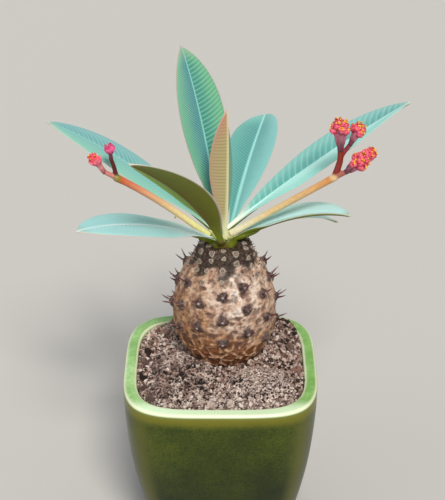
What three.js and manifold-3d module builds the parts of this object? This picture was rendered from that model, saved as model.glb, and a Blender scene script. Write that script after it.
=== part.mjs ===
// A caudex euphorbia in flower, in a square glazed pot of volcanic grit.
// Millimetres, +Z up, +X to the viewer's right, +Y away from the viewer.
// The origin is the centre of the pot's flat underside.

import * as THREE from "three";
import { mergeVertices } from "three/addons/utils/BufferGeometryUtils.js";
import Module from "manifold-3d";

const wasm = await Module();
wasm.setup();

const radians = THREE.MathUtils.degToRad;
const lerp = THREE.MathUtils.lerp;
const vec = (x, y, z) => new THREE.Vector3(x, y, z);

// Driving dimensions, in millimetres and degrees
const gap = 0.4; // clearance between pieces that rest on each other

const pot = {
  height: 76,
  halfWidth: 40, // at the rim
  squareness: 4.1, // exponent of the rounded square plan
  taper: 0.0022, // half width lost per squared millimetre below the rim
  wall: 5.4,
  floor: 7,
  foot: { height: 8, inset: 5.5 },
  rimRound: 1.4,
  drain: { radius: 2.4, offset: 12 },
  sides: 40,
};

const ground = {
  edge: 74.5, // height of the grit along the wall
  mound: { rise: 4.4, spread: 22 },
  heap: { x: 28, y: 26, rise: 4, spread: 9 },
  ripple: { rise: 0.4, length: 7 },
  rings: 4,
};

const caudex = {
  x: 1.7,
  y: 10.3,
  z: 77.5, // where the swollen stem leaves the grit
  sides: 28,
  rows: 20,
  // radius and height above the grit, from the root tip to the top of the neck
  profile: [
    [0, -22], [5.4, -17], [10.6, -9], [15, 0], [18, 5], [20, 10], [21.1, 16], [21, 24],
    [19.8, 30], [16.5, 38], [13.5, 42], [12, 45], [10.9, 48.4], [8.8, 49.6], [0, 49.9],
  ],
};

const tubercles = {
  heading: -92, // of the tubercle that the spiral is counted from
  turn: -360 * 5 / 13, // from one tubercle to the next
  height: 14.4, // of that tubercle above the grit
  climb: 0.78, // along the surface, on the swollen stem
  neckClimb: 0.3, // where growth is slow, on the neck
  neckStart: 22, // count at which the climb starts to shorten
  neckEnd: 44,
  first: -4,
  spinesFrom: -1,
  scarsFrom: 34,
  last: 82,
  radius: 2.1,
  rise: 1.7,
  scar: { radius: 1.6, rise: 0.7 },
  spine: { radius: 0.5, short: 2.2, long: 5.8, spread: 24, lift: 12 },
};

const crown = { x: 0.9, y: 10.3, z: 127.4, radius: 7.6, height: 5.4 }; // growing tip

const blade = {
  thickness: 0.9,
  ribDepth: 0.9, // extra depth of the midrib at the leaf base
  ribTip: 0.2,
  stalk: 0.12, // width at the base over full width
  tipHalfWidth: 0.35,
  stations: 12,
  wide: 1.4, // exponents of the outline, towards the base and the tip
  blunt: 0.78,
};

// Each leaf: seat from the crown's centre, heading and how far it swings towards
// the tip, rise at the base and the tip, length, width, roll at base and tip, fold
const leaves = {
  leaf_back_left: {
    seat: [-1, 2, 3.8], heading: 121.4, swing: 12.5, rise: [74.5, 63.6],
    length: 76.7, width: 21.9, roll: [-1.8, 1.5], fold: 10.9, colour: "#6fae9a",
  },
  leaf_young: {
    seat: [1, -3.3, 3.3], heading: -51.2, swing: 19.2, rise: [87.3, 91.6],
    length: 56.2, width: 16.5, roll: [-3.6, 11.4], fold: 23.7, colour: "#c9ad86",
  },
  leaf_back_right: {
    seat: [2.6, 3.8, 1.6], heading: 78.1, swing: -5.1, rise: [22.4, 17],
    length: 72.6, width: 22.3, roll: [15, -18], fold: 17, colour: "#8cc4bb",
  },
  leaf_right_long: {
    seat: [2, 2.3, 4.7], heading: 22.5, swing: -27.8, rise: [32.1, 35.1],
    length: 90.2, width: 23.2, roll: [9.9, -4], fold: 10.8, colour: "#8cc4bb",
  },
  leaf_right_low: {
    seat: [2.9, -1.2, 1.4], heading: -5, swing: -19.9, rise: [29.9, 2.5],
    length: 52.4, width: 21.2, roll: [1.7, -14.9], fold: 14.7, colour: "#b4d8dc",
  },
  leaf_right_behind: {
    seat: [6.1, 3.4, 2], heading: 41.7, swing: -12.6, rise: [3, -32.9],
    length: 56.4, width: 16, roll: [-16.4, -7.8], fold: 2.1, colour: "#a9d0cf",
  },
  leaf_left_low: {
    seat: [-3.5, -2.5, 2.2], heading: 211.1, swing: 6.6, rise: [29.4, 3.8],
    length: 66.4, width: 23.9, roll: [-8.9, 3.8], fold: 0.5, colour: "#93c8c6",
  },
  leaf_left_long: {
    seat: [-3.2, 2.2, 3.9], heading: 168.5, swing: 17.4, rise: [40.2, 26.4],
    length: 81.1, width: 23, roll: [-8.9, 3.2], fold: 0.8, colour: "#8cc4bb",
  },
  leaf_front: {
    seat: [-0.2, -5.1, 2.5], heading: -112.1, swing: -31.9, rise: [50.2, 35.1],
    length: 80.7, width: 23.1, roll: [-9.8, 23], fold: 11.9, colour: "#7d8516",
  },
};

// Flower stalks: the main stem, then branches from its fork to the flower heads
const stalks = {
  radius: 1.4,
  sides: 7,
  left: {
    seat: [-5.8, 0.6, 2.7], heading: 193.7, swing: 0, rise: [43.5, 32.6], length: 47.6,
    branches: [
      { radius: 0.95, path: [[-45.6, 1.7, 163]] },
      { radius: 0.85, path: [[-41.8, 2.3, 165], [-42.7, 2.3, 168]] },
    ],
  },
  right: {
    seat: [3.4, -1.3, 4.6], heading: -12.8, swing: 0, rise: [35.4, 35.5], length: 50.9,
    branches: [
      { radius: 1.2, path: [[46.6, -0.4, 168.5], [46.7, -0.3, 173.2]] },
      { radius: 0.9, path: [[46.8, -0.2, 169.8], [50.4, 0.7, 175.2]] },
      { radius: 1.05, path: [[49.2, -1.6, 164.6]] },
    ],
  },
};

// Each head: where it meets its stalk, its far end, width, share taken by its funnel
const heads = {
  flower_head_left: {
    base: [-45.6, 1.7, 163], tip: [-50.9, 1, 171.4], width: 6, funnel: 0.4, florets: 5,
  },
  flower_bud_left: {
    base: [-42.7, 2.3, 168], tip: [-43.4, 2.3, 175.6], width: 5.4, funnel: 0.45, florets: 3,
  },
  flower_head_inner: {
    base: [46.7, -0.3, 173.2], tip: [45.9, -0.3, 187.8], width: 9, funnel: 0.5, florets: 8,
  },
  flower_head_middle: {
    base: [50.4, 0.7, 175.2], tip: [55.4, 2, 184.6], width: 7.6, funnel: 0.45, florets: 6,
  },
  flower_head_outer: {
    base: [49.2, -1.6, 164.6], tip: [60.9, -3.4, 175.8], width: 9, funnel: 0.35, florets: 8,
  },
};
// Florets start above the stalk's end by lift; their half width is a share of the head's width
const floret = { lift: 0.6, halfWidth: 0.19, halfLength: 2.1 };

const stones = {
  lava_stone_left: { centre: [-15.5, -10, 75], half: [15, 18, 4.2], turn: -8, seed: 3 },
  lava_stone_right: { centre: [16.5, -17, 75], half: [15, 11.5, 4.2], turn: -10, seed: 8 },
};

// Grit pieces that show as single pebbles: place across the soil and radius
const pebbles = [
  [-30.2, 8.3, 2.2], [-32, 0, 1.6], [-30.6, -21.5, 1.4], [-24, -29, 1.6], [-4, -31.5, 1.5],
  [4, -31, 1.4], [31.5, -6, 1.5], [29.5, 10, 1.9], [-24, 24, 1.8], [-12, 31, 1.5],
];

// Solids

function dropEmptyTriangles(index) {
  const kept = [];
  for (let i = 0; i < index.length; i += 3) {
    const [a, b, c] = [index[i], index[i + 1], index[i + 2]];
    if (a !== b && b !== c && c !== a) kept.push(a, b, c);
  }
  return new Uint32Array(kept);
}

function solid(geometry) {
  const bare = geometry.clone();
  bare.deleteAttribute("normal");
  bare.deleteAttribute("uv");
  const merged = mergeVertices(bare, 1e-4);
  const triVerts = dropEmptyTriangles(merged.index.array);
  const vertProperties = new Float32Array(merged.attributes.position.array);
  return new wasm.Manifold(new wasm.Mesh({ numProp: 3, vertProperties, triVerts }));
}

function geometryOf(manifold) {
  const { vertProperties, triVerts } = manifold.getMesh();
  const geometry = new THREE.BufferGeometry();
  geometry.setAttribute("position", new THREE.BufferAttribute(vertProperties, 3));
  geometry.setIndex(new THREE.BufferAttribute(triVerts, 1));
  geometry.computeVertexNormals();
  return geometry;
}

const joined = (solids) => solids.reduce((whole, next) => whole.add(next));

// A closed skin over rings of equally many points, anticlockwise seen from the last ring
function loft(rings) {
  const count = rings[0].length;
  const points = rings.flat();
  const index = [];
  for (let row = 0; row + 1 < rings.length; row++) {
    for (let i = 0; i < count; i++) {
      const a = row * count + i;
      const b = row * count + (i + 1) % count;
      index.push(a, b, b + count, a, b + count, a + count);
    }
  }
  for (const end of [0, rings.length - 1]) {
    const middle = points.length;
    points.push(rings[end].reduce((sum, p) => sum.add(p), vec(0, 0, 0)).divideScalar(count));
    for (let i = 0; i < count; i++) {
      const a = end * count + i;
      const b = end * count + (i + 1) % count;
      index.push(...(end ? [a, b, middle] : [b, a, middle]));
    }
  }
  const geometry = new THREE.BufferGeometry().setFromPoints(points);
  geometry.setIndex(index);
  return geometry;
}

// A closed sheet between two grids of points, both split along the same diagonals
function sheet(upper, lower) {
  const rows = upper.length;
  const columns = upper[0].length;
  const points = [...upper.flat(), ...lower.flat()];
  const under = rows * columns;
  const index = [];
  const quad = (a, b, c, d) => index.push(a, c, b, a, d, c);
  for (let i = 0; i + 1 < rows; i++) {
    for (let j = 0; j + 1 < columns; j++) {
      const a = i * columns + j;
      const [b, c, d] = [a + 1, a + columns + 1, a + columns];
      quad(a, b, c, d);
      index.push(under + a, under + b, under + c, under + a, under + c, under + d);
    }
    const left = i * columns;
    const right = left + columns - 1;
    quad(left, left + columns, under + left + columns, under + left);
    quad(right, under + right, under + right + columns, right + columns);
  }
  for (let j = 0; j + 1 < columns; j++) {
    const end = (rows - 1) * columns + j;
    quad(j, under + j, under + j + 1, j + 1);
    quad(end, end + 1, under + end + 1, under + end);
  }
  const geometry = new THREE.BufferGeometry().setFromPoints(points);
  geometry.setIndex(index);
  return geometry;
}

function revolved(points, sides) {
  return new THREE.LatheGeometry(points, sides).rotateX(Math.PI / 2);
}

function ellipsoid(radii, widthSegments, heightSegments) {
  return new THREE.SphereGeometry(1, widthSegments, heightSegments)
    .rotateX(Math.PI / 2).scale(...radii);
}

// Repeatable random numbers from 0 to 1
function chance(seed) {
  let state = seed;
  return () => {
    state = (state * 16807) % 2147483647;
    return state / 2147483647;
  };
}

// Pot

// Outline of the rounded square plan, as a ring at one height
function squareRing(halfWidth, z) {
  const ring = [];
  for (let i = 0; i < pot.sides; i++) {
    const angle = 2 * Math.PI * i / pot.sides;
    const [c, s] = [Math.cos(angle), Math.sin(angle)];
    const size = Math.abs(c) ** pot.squareness + Math.abs(s) ** pot.squareness;
    const radius = halfWidth / size ** (1 / pot.squareness);
    ring.push(vec(radius * c, radius * s, z));
  }
  return ring;
}

const outerHalf = (z) => pot.halfWidth - pot.taper * (pot.height - z) ** 2;
const innerHalf = (z) => outerHalf(z) - pot.wall;

function potSolid() {
  const { foot, rimRound: round, height, floor, drain } = pot;
  const footRings = [0, 0.3, 1].map((k) => {
    const inset = foot.inset * (1 - Math.sqrt(1 - (1 - k) ** 2));
    return squareRing(outerHalf(foot.height) - inset, foot.height * k);
  });
  const outside = [30, 50, 66].map((z) => squareRing(outerHalf(z), z));
  const rim = [
    squareRing(outerHalf(height - round), height - round),
    squareRing(pot.halfWidth - 0.3 * round, height - 0.3 * round),
    squareRing(pot.halfWidth - round, height),
    squareRing(innerHalf(height) + round, height),
    squareRing(innerHalf(height), height - round),
  ];
  const inside = [52, 30, floor + 4].map((z) => squareRing(innerHalf(z), z));
  inside.push(squareRing(innerHalf(floor) - 3, floor));
  const body = solid(loft([...footRings, ...outside, ...rim, ...inside]));
  const drill = (x, y) => solid(
    new THREE.CylinderGeometry(drain.radius, drain.radius, 3 * floor, 12)
      .rotateX(Math.PI / 2).translate(x, y, 0));
  const holes = [[1, 1], [-1, 1], [-1, -1], [1, -1]]
    .map(([x, y]) => drill(x * drain.offset, y * drain.offset));
  return body.subtract(joined(holes));
}

// Swollen stem

const stemCurve = new THREE.SplineCurve(
  caudex.profile.map(([radius, height]) => new THREE.Vector2(radius, caudex.z + height)));
const stemLength = stemCurve.getLength();

// Distance along the profile to a height above the grit, on its outer side
function arcAtHeight(height) {
  let [low, high] = [0, stemLength];
  while (high - low > 0.01) {
    const middle = (low + high) / 2;
    if (stemCurve.getPointAt(middle / stemLength).y < caudex.z + height) low = middle;
    else high = middle;
  }
  return low;
}

function stemSolid(extra) {
  const points = stemCurve.getSpacedPoints(caudex.rows)
    .map((p) => new THREE.Vector2(p.x > 0.01 ? p.x + extra : 0, p.y));
  points[0].set(0, points[0].y - extra);
  points[caudex.rows].set(0, points[caudex.rows].y + extra);
  return solid(revolved(points, caudex.sides)).translate([caudex.x, caudex.y, 0]);
}

function crownSolid(extra) {
  const { x, y, z, radius, height } = crown;
  return solid(ellipsoid([radius + extra, radius + extra, height + extra], 16, 8))
    .translate([x, y, z]);
}

// Point and directions on the surface for the tubercle with this count along the spiral
function tubercleFrame(count) {
  const { climb, neckClimb, neckStart, neckEnd } = tubercles;
  const slowed = Math.max(0, Math.min(count, neckEnd) - neckStart);
  const easing = (climb - neckClimb) * slowed ** 2 / (2 * (neckEnd - neckStart));
  const neck = (climb - neckClimb) * Math.max(0, count - neckEnd);
  const arc = arcAtHeight(tubercles.height) + climb * count - easing - neck;
  const along = Math.min(arc / stemLength, 1);
  const place = stemCurve.getPointAt(along);
  const slope = stemCurve.getTangentAt(along);
  const heading = radians(tubercles.heading + tubercles.turn * count);
  const radial = vec(Math.cos(heading), Math.sin(heading), 0);
  const out = radial.clone().multiplyScalar(slope.y).add(vec(0, 0, -slope.x)).normalize();
  const side = vec(-radial.y, radial.x, 0);
  const point = radial.clone().multiplyScalar(place.x).add(vec(caudex.x, caudex.y, place.y));
  return { point, out, side, up: out.clone().cross(side), heading };
}

function alongDirection(geometry, direction, point) {
  const turn = new THREE.Quaternion().setFromUnitVectors(vec(0, 1, 0), direction);
  return geometry.applyQuaternion(turn).translate(point.x, point.y, point.z);
}

function knob({ point, out }, radius, rise, sides) {
  const root = 0.9; // sunk into the stem
  const shape = new THREE.CylinderGeometry(0.5 * radius, radius, rise + root, sides);
  return solid(alongDirection(shape, out, point.clone().addScaledVector(out, (rise - root) / 2)));
}

function spine({ point, out, side, up }, sideways, length) {
  const { spread, lift, radius } = tubercles.spine;
  const direction = out.clone()
    .addScaledVector(side, Math.tan(radians(spread)) * sideways)
    .addScaledVector(up, Math.tan(radians(lift))).normalize();
  const shape = new THREE.ConeGeometry(radius, length, 3).translate(0, length / 2, 0);
  const foot = point.clone().addScaledVector(out, 0.3 * tubercles.rise)
    .addScaledVector(side, 0.35 * tubercles.radius * sideways);
  return solid(alongDirection(shape, direction, foot));
}

function caudexSolid() {
  const { first, last, spinesFrom, scarsFrom, radius, rise, scar } = tubercles;
  const random = chance(11);
  const pieces = [stemSolid(0), crownSolid(0)];
  for (let count = first; count < last; count++) {
    const frame = tubercleFrame(count);
    const old = count < scarsFrom;
    pieces.push(old ? knob(frame, radius, rise, 5) : knob(frame, scar.radius, scar.rise, 4));
    const vigour = (0.5 + 0.5 * random()) * Math.abs(Math.cos(frame.heading)) ** 0.7;
    const length = lerp(tubercles.spine.short, tubercles.spine.long, vigour);
    if (old && count >= spinesFrom) {
      pieces.push(spine(frame, 1, length), spine(frame, -1, length));
    }
  }
  return joined(pieces);
}

// Grit and stones

function soilTop(x, y) {
  const { edge, mound, heap, ripple } = ground;
  const fromStem = Math.hypot(x - caudex.x, y - caudex.y) / mound.spread;
  const fromHeap = Math.hypot(x - heap.x, y - heap.y) / heap.spread;
  const ripples = Math.sin(x / ripple.length) * Math.cos(y / ripple.length);
  return edge + mound.rise * Math.exp(-(fromStem ** 2))
    + heap.rise * Math.exp(-(fromHeap ** 2)) + ripple.rise * ripples;
}

// A rounded rock with a flat-lying shape; extra swells it evenly
function stoneShape({ centre, half, turn, seed }, extra) {
  const shape = new THREE.IcosahedronGeometry(1, 1);
  const place = shape.attributes.position;
  for (let i = 0; i < place.count; i++) {
    const p = vec(0, 0, 0).fromBufferAttribute(place, i);
    const rough = 1 + 0.07 * Math.sin(3.1 * p.x + seed) + 0.07 * Math.sin(3.7 * p.y + 2 * seed)
      + 0.05 * Math.sin(5.3 * (p.x + p.y) + 3 * seed);
    place.setXYZ(i, p.x * (half[0] * rough + extra), p.y * (half[1] * rough + extra),
      p.z * (half[2] * rough + extra));
  }
  return solid(shape.rotateZ(radians(turn))).translate(centre);
}

function pebbleSolid([x, y, radius], index) {
  const shape = new THREE.IcosahedronGeometry(radius, 0).rotateZ(index).rotateX(0.5 * index);
  return solid(shape).translate([x, y, soilTop(x, y) + 0.25 * radius]);
}

function soilSolid() {
  const { rings } = ground;
  const bottom = pot.floor + gap;
  const walls = [bottom + 4, 30, 52, ground.edge - 3]
    .map((z) => squareRing(innerHalf(z) - gap, z));
  const edge = squareRing(innerHalf(ground.edge) - gap, 0);
  const surface = [];
  for (let ring = 0; ring < rings; ring++) {
    const inward = ring / rings;
    surface.push(edge.map((p) => {
      const x = lerp(p.x, caudex.x, inward);
      const y = lerp(p.y, caudex.y, inward);
      return vec(x, y, soilTop(x, y));
    }));
  }
  const foot = squareRing(innerHalf(bottom) - 3 - gap, bottom);
  const bulk = solid(loft([foot, ...walls, ...surface]));
  const beds = Object.values(stones).map((stone) => stoneShape(stone, gap));
  return joined([bulk, ...pebbles.map(pebbleSolid)]).subtract(joined([stemSolid(gap), ...beds]));
}

// Leaves

// Points and frames along a stem or midrib that starts at its seat on the crown
function midline({ seat, heading, swing, rise, length }, steps) {
  const place = vec(...seat).add(vec(crown.x, crown.y, crown.z));
  const direction = (s) => {
    const up = radians(lerp(rise[0], rise[1], s ** 1.5));
    const turn = radians(heading + swing * s ** 1.5);
    const level = vec(Math.cos(turn), Math.sin(turn), 0);
    return { turn, along: level.multiplyScalar(Math.cos(up)).add(vec(0, 0, Math.sin(up))) };
  };
  const line = [];
  for (let i = 0; i <= steps; i++) {
    const { turn, along } = direction(i / steps);
    const side = vec(-Math.sin(turn), Math.cos(turn), 0);
    line.push({ s: i / steps, point: place.clone(), along, side, up: along.clone().cross(side) });
    place.addScaledVector(direction((i + 0.5) / steps).along, length / steps);
  }
  return line;
}

function halfWidthAt(leaf, s) {
  const { wide, blunt } = blade;
  const widest = wide / (wide + blunt);
  const full = widest ** wide * (1 - widest) ** blunt;
  const outline = s ** wide * (1 - s) ** blunt / full;
  const half = leaf.width / 2 * Math.hypot(outline, blade.stalk * (1 - s));
  return Math.max(half, blade.tipHalfWidth);
}

function leafSolid(leaf) {
  const upper = [];
  const lower = [];
  for (const { s, point, side, up } of midline(leaf, blade.stations)) {
    const roll = radians(lerp(leaf.roll[0], leaf.roll[1], s));
    const across = side.clone().multiplyScalar(Math.cos(roll)).addScaledVector(up, Math.sin(roll));
    const normal = up.clone().multiplyScalar(Math.cos(roll)).addScaledVector(side, -Math.sin(roll));
    const half = halfWidthAt(leaf, s);
    const rib = blade.ribTip + blade.ribDepth * (1 - s) ** 1.5;
    const top = [-1, -0.5, 0, 0.5, 1].map((u) => point.clone()
      .addScaledVector(across, u * half * Math.cos(radians(leaf.fold)))
      .addScaledVector(normal, Math.abs(u) * half * Math.sin(radians(leaf.fold)))
      .addScaledVector(normal, blade.thickness / 2));
    const depths = [0, 0, rib, 0, 0].map((extra) => blade.thickness + extra);
    upper.push(top);
    lower.push(top.map((p, i) => p.clone().addScaledVector(normal, -depths[i])));
  }
  return solid(sheet(upper, lower)).subtract(crownSeat);
}

// Flower stalks and heads

function tube(points, radius) {
  const ring = [];
  for (let i = 0; i < stalks.sides; i++) {
    const angle = 2 * Math.PI * i / stalks.sides;
    ring.push(new THREE.Vector2(radius * Math.cos(angle), radius * Math.sin(angle)));
  }
  const extrudePath = new THREE.CatmullRomCurve3(points);
  const steps = 2 * (points.length - 1);
  return solid(new THREE.ExtrudeGeometry(new THREE.Shape(ring), { steps, extrudePath }));
}

function stalkSolid(stalk) {
  const stem = midline(stalk, 6).map(({ point }) => point);
  const fork = stem[stem.length - 1];
  const swelling = solid(ellipsoid([1.7, 1.7, 1.7], 7, 5)).translate(fork.toArray());
  const branches = stalk.branches.map(({ radius, path }) =>
    tube([fork, ...path.map((p) => vec(...p))], radius));
  return joined([tube(stem, stalks.radius), swelling, ...branches]).subtract(crownSeat);
}

// A funnel of joined flower bases, filled by a rounded core and a dome of florets
function headSolid({ base, tip, width, funnel: share, florets }) {
  const axis = vec(...tip).sub(vec(...base));
  const length = axis.length() - floret.lift;
  const direction = axis.normalize();
  const foot = vec(...base).addScaledVector(direction, floret.lift);
  const cup = share * length;
  const half = floret.halfWidth * width;
  const funnel = new THREE.CylinderGeometry(0.34 * width, 0.85, cup, 8).translate(0, cup / 2, 0);
  const core = new THREE.IcosahedronGeometry(1, 0)
    .scale(0.36 * width, 0.55 * (length - cup), 0.36 * width)
    .translate(0, (cup + length) / 2 - 0.6, 0);
  const pieces = [funnel, core];
  for (let i = 0; i < florets; i++) {
    const outward = Math.sqrt((i + 0.5) / florets);
    const angle = radians(137.5 * i);
    const reach = outward * (width / 2 - 0.9 * half);
    const height = lerp(length - floret.halfLength, cup + 0.4, outward ** 2);
    const [x, z] = [reach * Math.cos(angle), reach * Math.sin(angle)];
    pieces.push(new THREE.IcosahedronGeometry(1, 0)
      .scale(half, floret.halfLength, half).translate(x, height, z));
  }
  return joined(pieces.map((piece) => solid(alongDirection(piece, direction, foot))));
}

// Scene graph

function node(name, manifold, color, roughness) {
  const material = new THREE.MeshStandardMaterial({ color, roughness, metalness: 0 });
  const mesh = new THREE.Mesh(geometryOf(manifold), material);
  mesh.name = name;
  return mesh;
}

const crownSeat = crownSolid(gap).add(stemSolid(gap));

const group = new THREE.Group();
group.add(node("pot", potSolid(), "#7f8f3a", 0.25));
group.add(node("soil", soilSolid(), "#8f7a70", 0.95));
for (const [name, stone] of Object.entries(stones)) {
  group.add(node(name, stoneShape(stone, 0).subtract(stemSolid(gap)), "#9c8a82", 0.95));
}
group.add(node("caudex", caudexSolid(), "#b48d66", 0.7));
for (const [name, leaf] of Object.entries(leaves)) {
  group.add(node(name, leafSolid(leaf), leaf.colour, 0.5));
}
group.add(node("flower_stalk_left", stalkSolid(stalks.left), "#d08a5c", 0.5));
group.add(node("flower_stalk_right", stalkSolid(stalks.right), "#dcb587", 0.5));
for (const [name, head] of Object.entries(heads)) {
  group.add(node(name, headSolid(head), "#d8466c", 0.55));
}

export default group;
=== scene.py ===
import math
import random

import bmesh
import bpy
import numpy as np
from mathutils import Matrix, Vector, noise


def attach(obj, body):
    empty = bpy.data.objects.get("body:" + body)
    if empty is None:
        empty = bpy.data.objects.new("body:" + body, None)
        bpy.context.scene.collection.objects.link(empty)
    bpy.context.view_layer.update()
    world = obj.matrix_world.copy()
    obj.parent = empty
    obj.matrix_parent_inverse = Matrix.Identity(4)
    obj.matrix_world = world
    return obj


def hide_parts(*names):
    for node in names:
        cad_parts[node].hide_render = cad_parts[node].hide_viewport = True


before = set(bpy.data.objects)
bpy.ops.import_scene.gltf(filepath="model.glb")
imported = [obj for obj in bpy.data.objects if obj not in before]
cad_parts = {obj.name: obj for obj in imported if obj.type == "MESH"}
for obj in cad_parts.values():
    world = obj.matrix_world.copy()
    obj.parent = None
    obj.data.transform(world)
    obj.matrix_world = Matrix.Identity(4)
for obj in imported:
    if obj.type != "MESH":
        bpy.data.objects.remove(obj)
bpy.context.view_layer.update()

# A caudex euphorbia in flower, in a square glazed pot of volcanic grit.
# All shapes are worked out in millimetres and turned to metres where a mesh is made.

mm = 0.001


# Meshes

def unit(vectors):  # each vector at length one
    vectors = np.asarray(vectors, float)
    return vectors / np.linalg.norm(vectors, axis=-1, keepdims=True)


def smoothStep(low, high, values):
    share = np.clip((np.asarray(values, float) - low) / (high - low), 0, 1)
    return share * share * (3 - 2 * share)


def bell(values, spread):  # 1 at nought, falling off to both sides
    return np.exp(-(values / spread) ** 2)


def hashNoise(points, size, shift):  # soft noise from -1 to 1, one value a point
    offset = Vector((shift, 2 * shift, -shift))
    return np.array([noise.noise(Vector(p) / size + offset) for p in points])


def scatterDistances(points, size, shift):  # to the nearest four points of a random scatter
    offset = Vector((shift, 3 * shift, -shift))
    return np.array([noise.voronoi(Vector(p) / size + offset)[0] for p in points])


def fullTurn(count):
    return np.linspace(0, 2 * math.pi, count, endpoint=False)


def crossways(direction, hint):  # two directions square to this one and to each other
    side = unit(np.cross(direction, hint))
    return side, np.cross(direction, side)


def roundFrom(side, up, turns):  # directions at these turns from side towards up
    return np.outer(np.cos(turns), side) + np.outer(np.sin(turns), up)


def ringsShape(rings):  # a closed skin over rings of points, with a flat cap at both ends
    rings = np.asarray(rings, float)
    rows, columns = rings.shape[:2]
    row, column = np.meshgrid(np.arange(rows - 1), np.arange(columns), indexing="ij")
    here = row * columns + column
    beside = row * columns + (column + 1) % columns
    faces = np.stack([here, beside, beside + columns, here + columns], -1).reshape(-1, 4).tolist()
    faces.append(list(range(columns - 1, -1, -1)))
    faces.append(list(range((rows - 1) * columns, rows * columns)))
    return rings.reshape(-1, 3), faces


def tubeShape(path, radii, sides):  # a round tube along a path, with its own radius at each point
    path = np.asarray(path, float)
    along = unit(np.gradient(path, axis=0))
    side = unit(np.cross(along[0], (0.31, 0.17, 0.93) if abs(along[0][2]) < 0.9 else (1, 0, 0)))
    rings = []
    for place, direction, radius in zip(path, along, np.broadcast_to(radii, len(path))):
        side = unit(side - direction * np.dot(side, direction))
        up = np.cross(direction, side)
        rings.append(place + radius * roundFrom(side, up, fullTurn(sides)))
    return ringsShape(rings)


def roundedShape(detail):  # the points and faces of a ball with a radius of one
    ball = bmesh.new()
    bmesh.ops.create_icosphere(ball, subdivisions=detail, radius=1)
    points = np.array([v.co for v in ball.verts])
    faces = [[v.index for v in face.verts] for face in ball.faces]
    ball.free()
    return points, faces


def joinedShape(shapes):  # several (points, faces) made into one
    points, faces, first = [], [], 0
    for shapePoints, shapeFaces in shapes:
        points.append(shapePoints)
        faces += [[index + first for index in face] for face in shapeFaces]
        first += len(shapePoints)
    return np.concatenate(points), faces


def joinedMarks(shapes, marks):
    # The marks of several shapes as those of one, nought where a shape goes without
    names = dict.fromkeys(name for own in marks for name in own)
    return {name: np.concatenate([np.broadcast_to(own.get(name, 0), len(points))
                                  for (points, _), own in zip(shapes, marks)])
            for name in names}


def meshFrom(name, shape, scale=1):
    mesh = bpy.data.meshes.new(name)
    mesh.from_pydata((np.asarray(shape[0]) * scale).tolist(), [], shape[1])
    return mesh


def addObject(name, data):
    thing = bpy.data.objects.new(name, data)
    bpy.context.scene.collection.objects.link(thing)
    return thing


def addPiece(name, shape, materials, node, slot, marks, faceMaterials=None):
    mesh = meshFrom(name, shape, mm)
    mesh.polygons.foreach_set("use_smooth", [True] * len(mesh.polygons))
    for material in materials:
        mesh.materials.append(material)
    if faceMaterials is not None:
        mesh.polygons.foreach_set("material_index", np.asarray(faceMaterials, np.int32))
    for mark, values in marks.items():
        layer = mesh.attributes.new(mark, "FLOAT", "POINT")
        layer.data.foreach_set("value", np.asarray(values, np.float32))
    mesh.update()
    piece = addObject(name, mesh)
    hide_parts(node)
    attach(piece, "root")


def afterModifiers(shape, modifiers):  # the shape after Blender modifiers, as (points, faces)
    mesh = meshFrom("working", shape)
    working = addObject("working", mesh)
    for kind, settings in modifiers:
        modifier = working.modifiers.new(kind, kind)
        for name, value in settings.items():
            setattr(modifier, name, value)
    shown = working.evaluated_get(bpy.context.evaluated_depsgraph_get())
    result = shown.to_mesh()
    points = np.array([v.co for v in result.vertices])
    faces = [list(polygon.vertices) for polygon in result.polygons]
    shown.to_mesh_clear()
    bpy.data.objects.remove(working)
    bpy.data.meshes.remove(mesh)
    return points, faces


# Materials

def linear(hexColour):  # an sRGB hex colour as linear red, green, blue and alpha
    parts = [int(hexColour[i:i + 2], 16) / 255 for i in (1, 3, 5)]
    return [p / 12.92 if p <= 0.04045 else ((p + 0.055) / 1.055) ** 2.4 for p in parts] + [1.0]


def setInputs(node, inputs):
    # Inputs are the stops of a colour ramp, properties of the node, and what its sockets
    # take: a value, a hex colour, or the output of another node, which is linked
    sockets = {socket.identifier: socket for socket in node.inputs}
    sockets |= {socket.name: socket for socket in reversed(node.inputs) if socket.enabled}
    for name, value in inputs.items():
        if name == "stops":
            ramp = node.color_ramp.elements
            middle = [ramp.new(place) for place, _ in value[1:-1]]
            for stop, (place, hexColour) in zip([ramp[0], *middle, ramp[-1]], value):
                stop.position, stop.color = place, linear(hexColour)
        elif name not in sockets:
            setattr(node, name, value)
        elif isinstance(value, bpy.types.NodeSocket):
            node.id_data.links.new(value, sockets[name])
        else:
            sockets[name].default_value = linear(value) if isinstance(value, str) else value


def addNode(tree, kind, inputs, output=None):  # its output, or else its first one, is the result
    node = tree.nodes.new("ShaderNode" + kind)
    if kind == "Mix":
        node.data_type = "RGBA"
    setInputs(node, inputs)
    return node.outputs[output] if output else next(o for o in node.outputs if o.enabled)


def newMaterial(name, markNames=()):  # with the marks of the mesh that it reads
    material = bpy.data.materials.new(name)
    material.use_nodes = True
    tree = material.node_tree
    marks = {mark: addNode(tree, "Attribute", {"attribute_name": mark}, "Fac")
             for mark in markNames}
    return material, tree, marks


def finished(material, inputs):  # the material with these inputs on its shader
    setInputs(material.node_tree.nodes["Principled BSDF"], inputs)
    return material


print("meshes and materials ready")


# Camera, light and floor

cameraView = {
    "target": (0.85, 0, 129.15),  # the point in the middle of the picture
    "distance": 600,
    "elevation": 28,  # degrees above the horizon
    "lens": 107.4,
    "sensor": 36,
}

studio = {
    "floorColour": "#c3c1bd",
    "floorReach": 6000,
    "skyColour": "#eef1f4",
    "skyStrength": 0.36,
    # each lamp: where it shines from, strength, angle across in degrees, colour
    "lamps": {
        "keyLamp": ((140, -620, 760), 2.85, 18, "#fffaf2"),
        "fillLamp": ((-700, -300, 300), 0.3, 40, "#f3f7ff"),
        "backLamp": ((-250, 700, 500), 0.5, 30, "#eef4ff"),
    },
}


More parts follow.
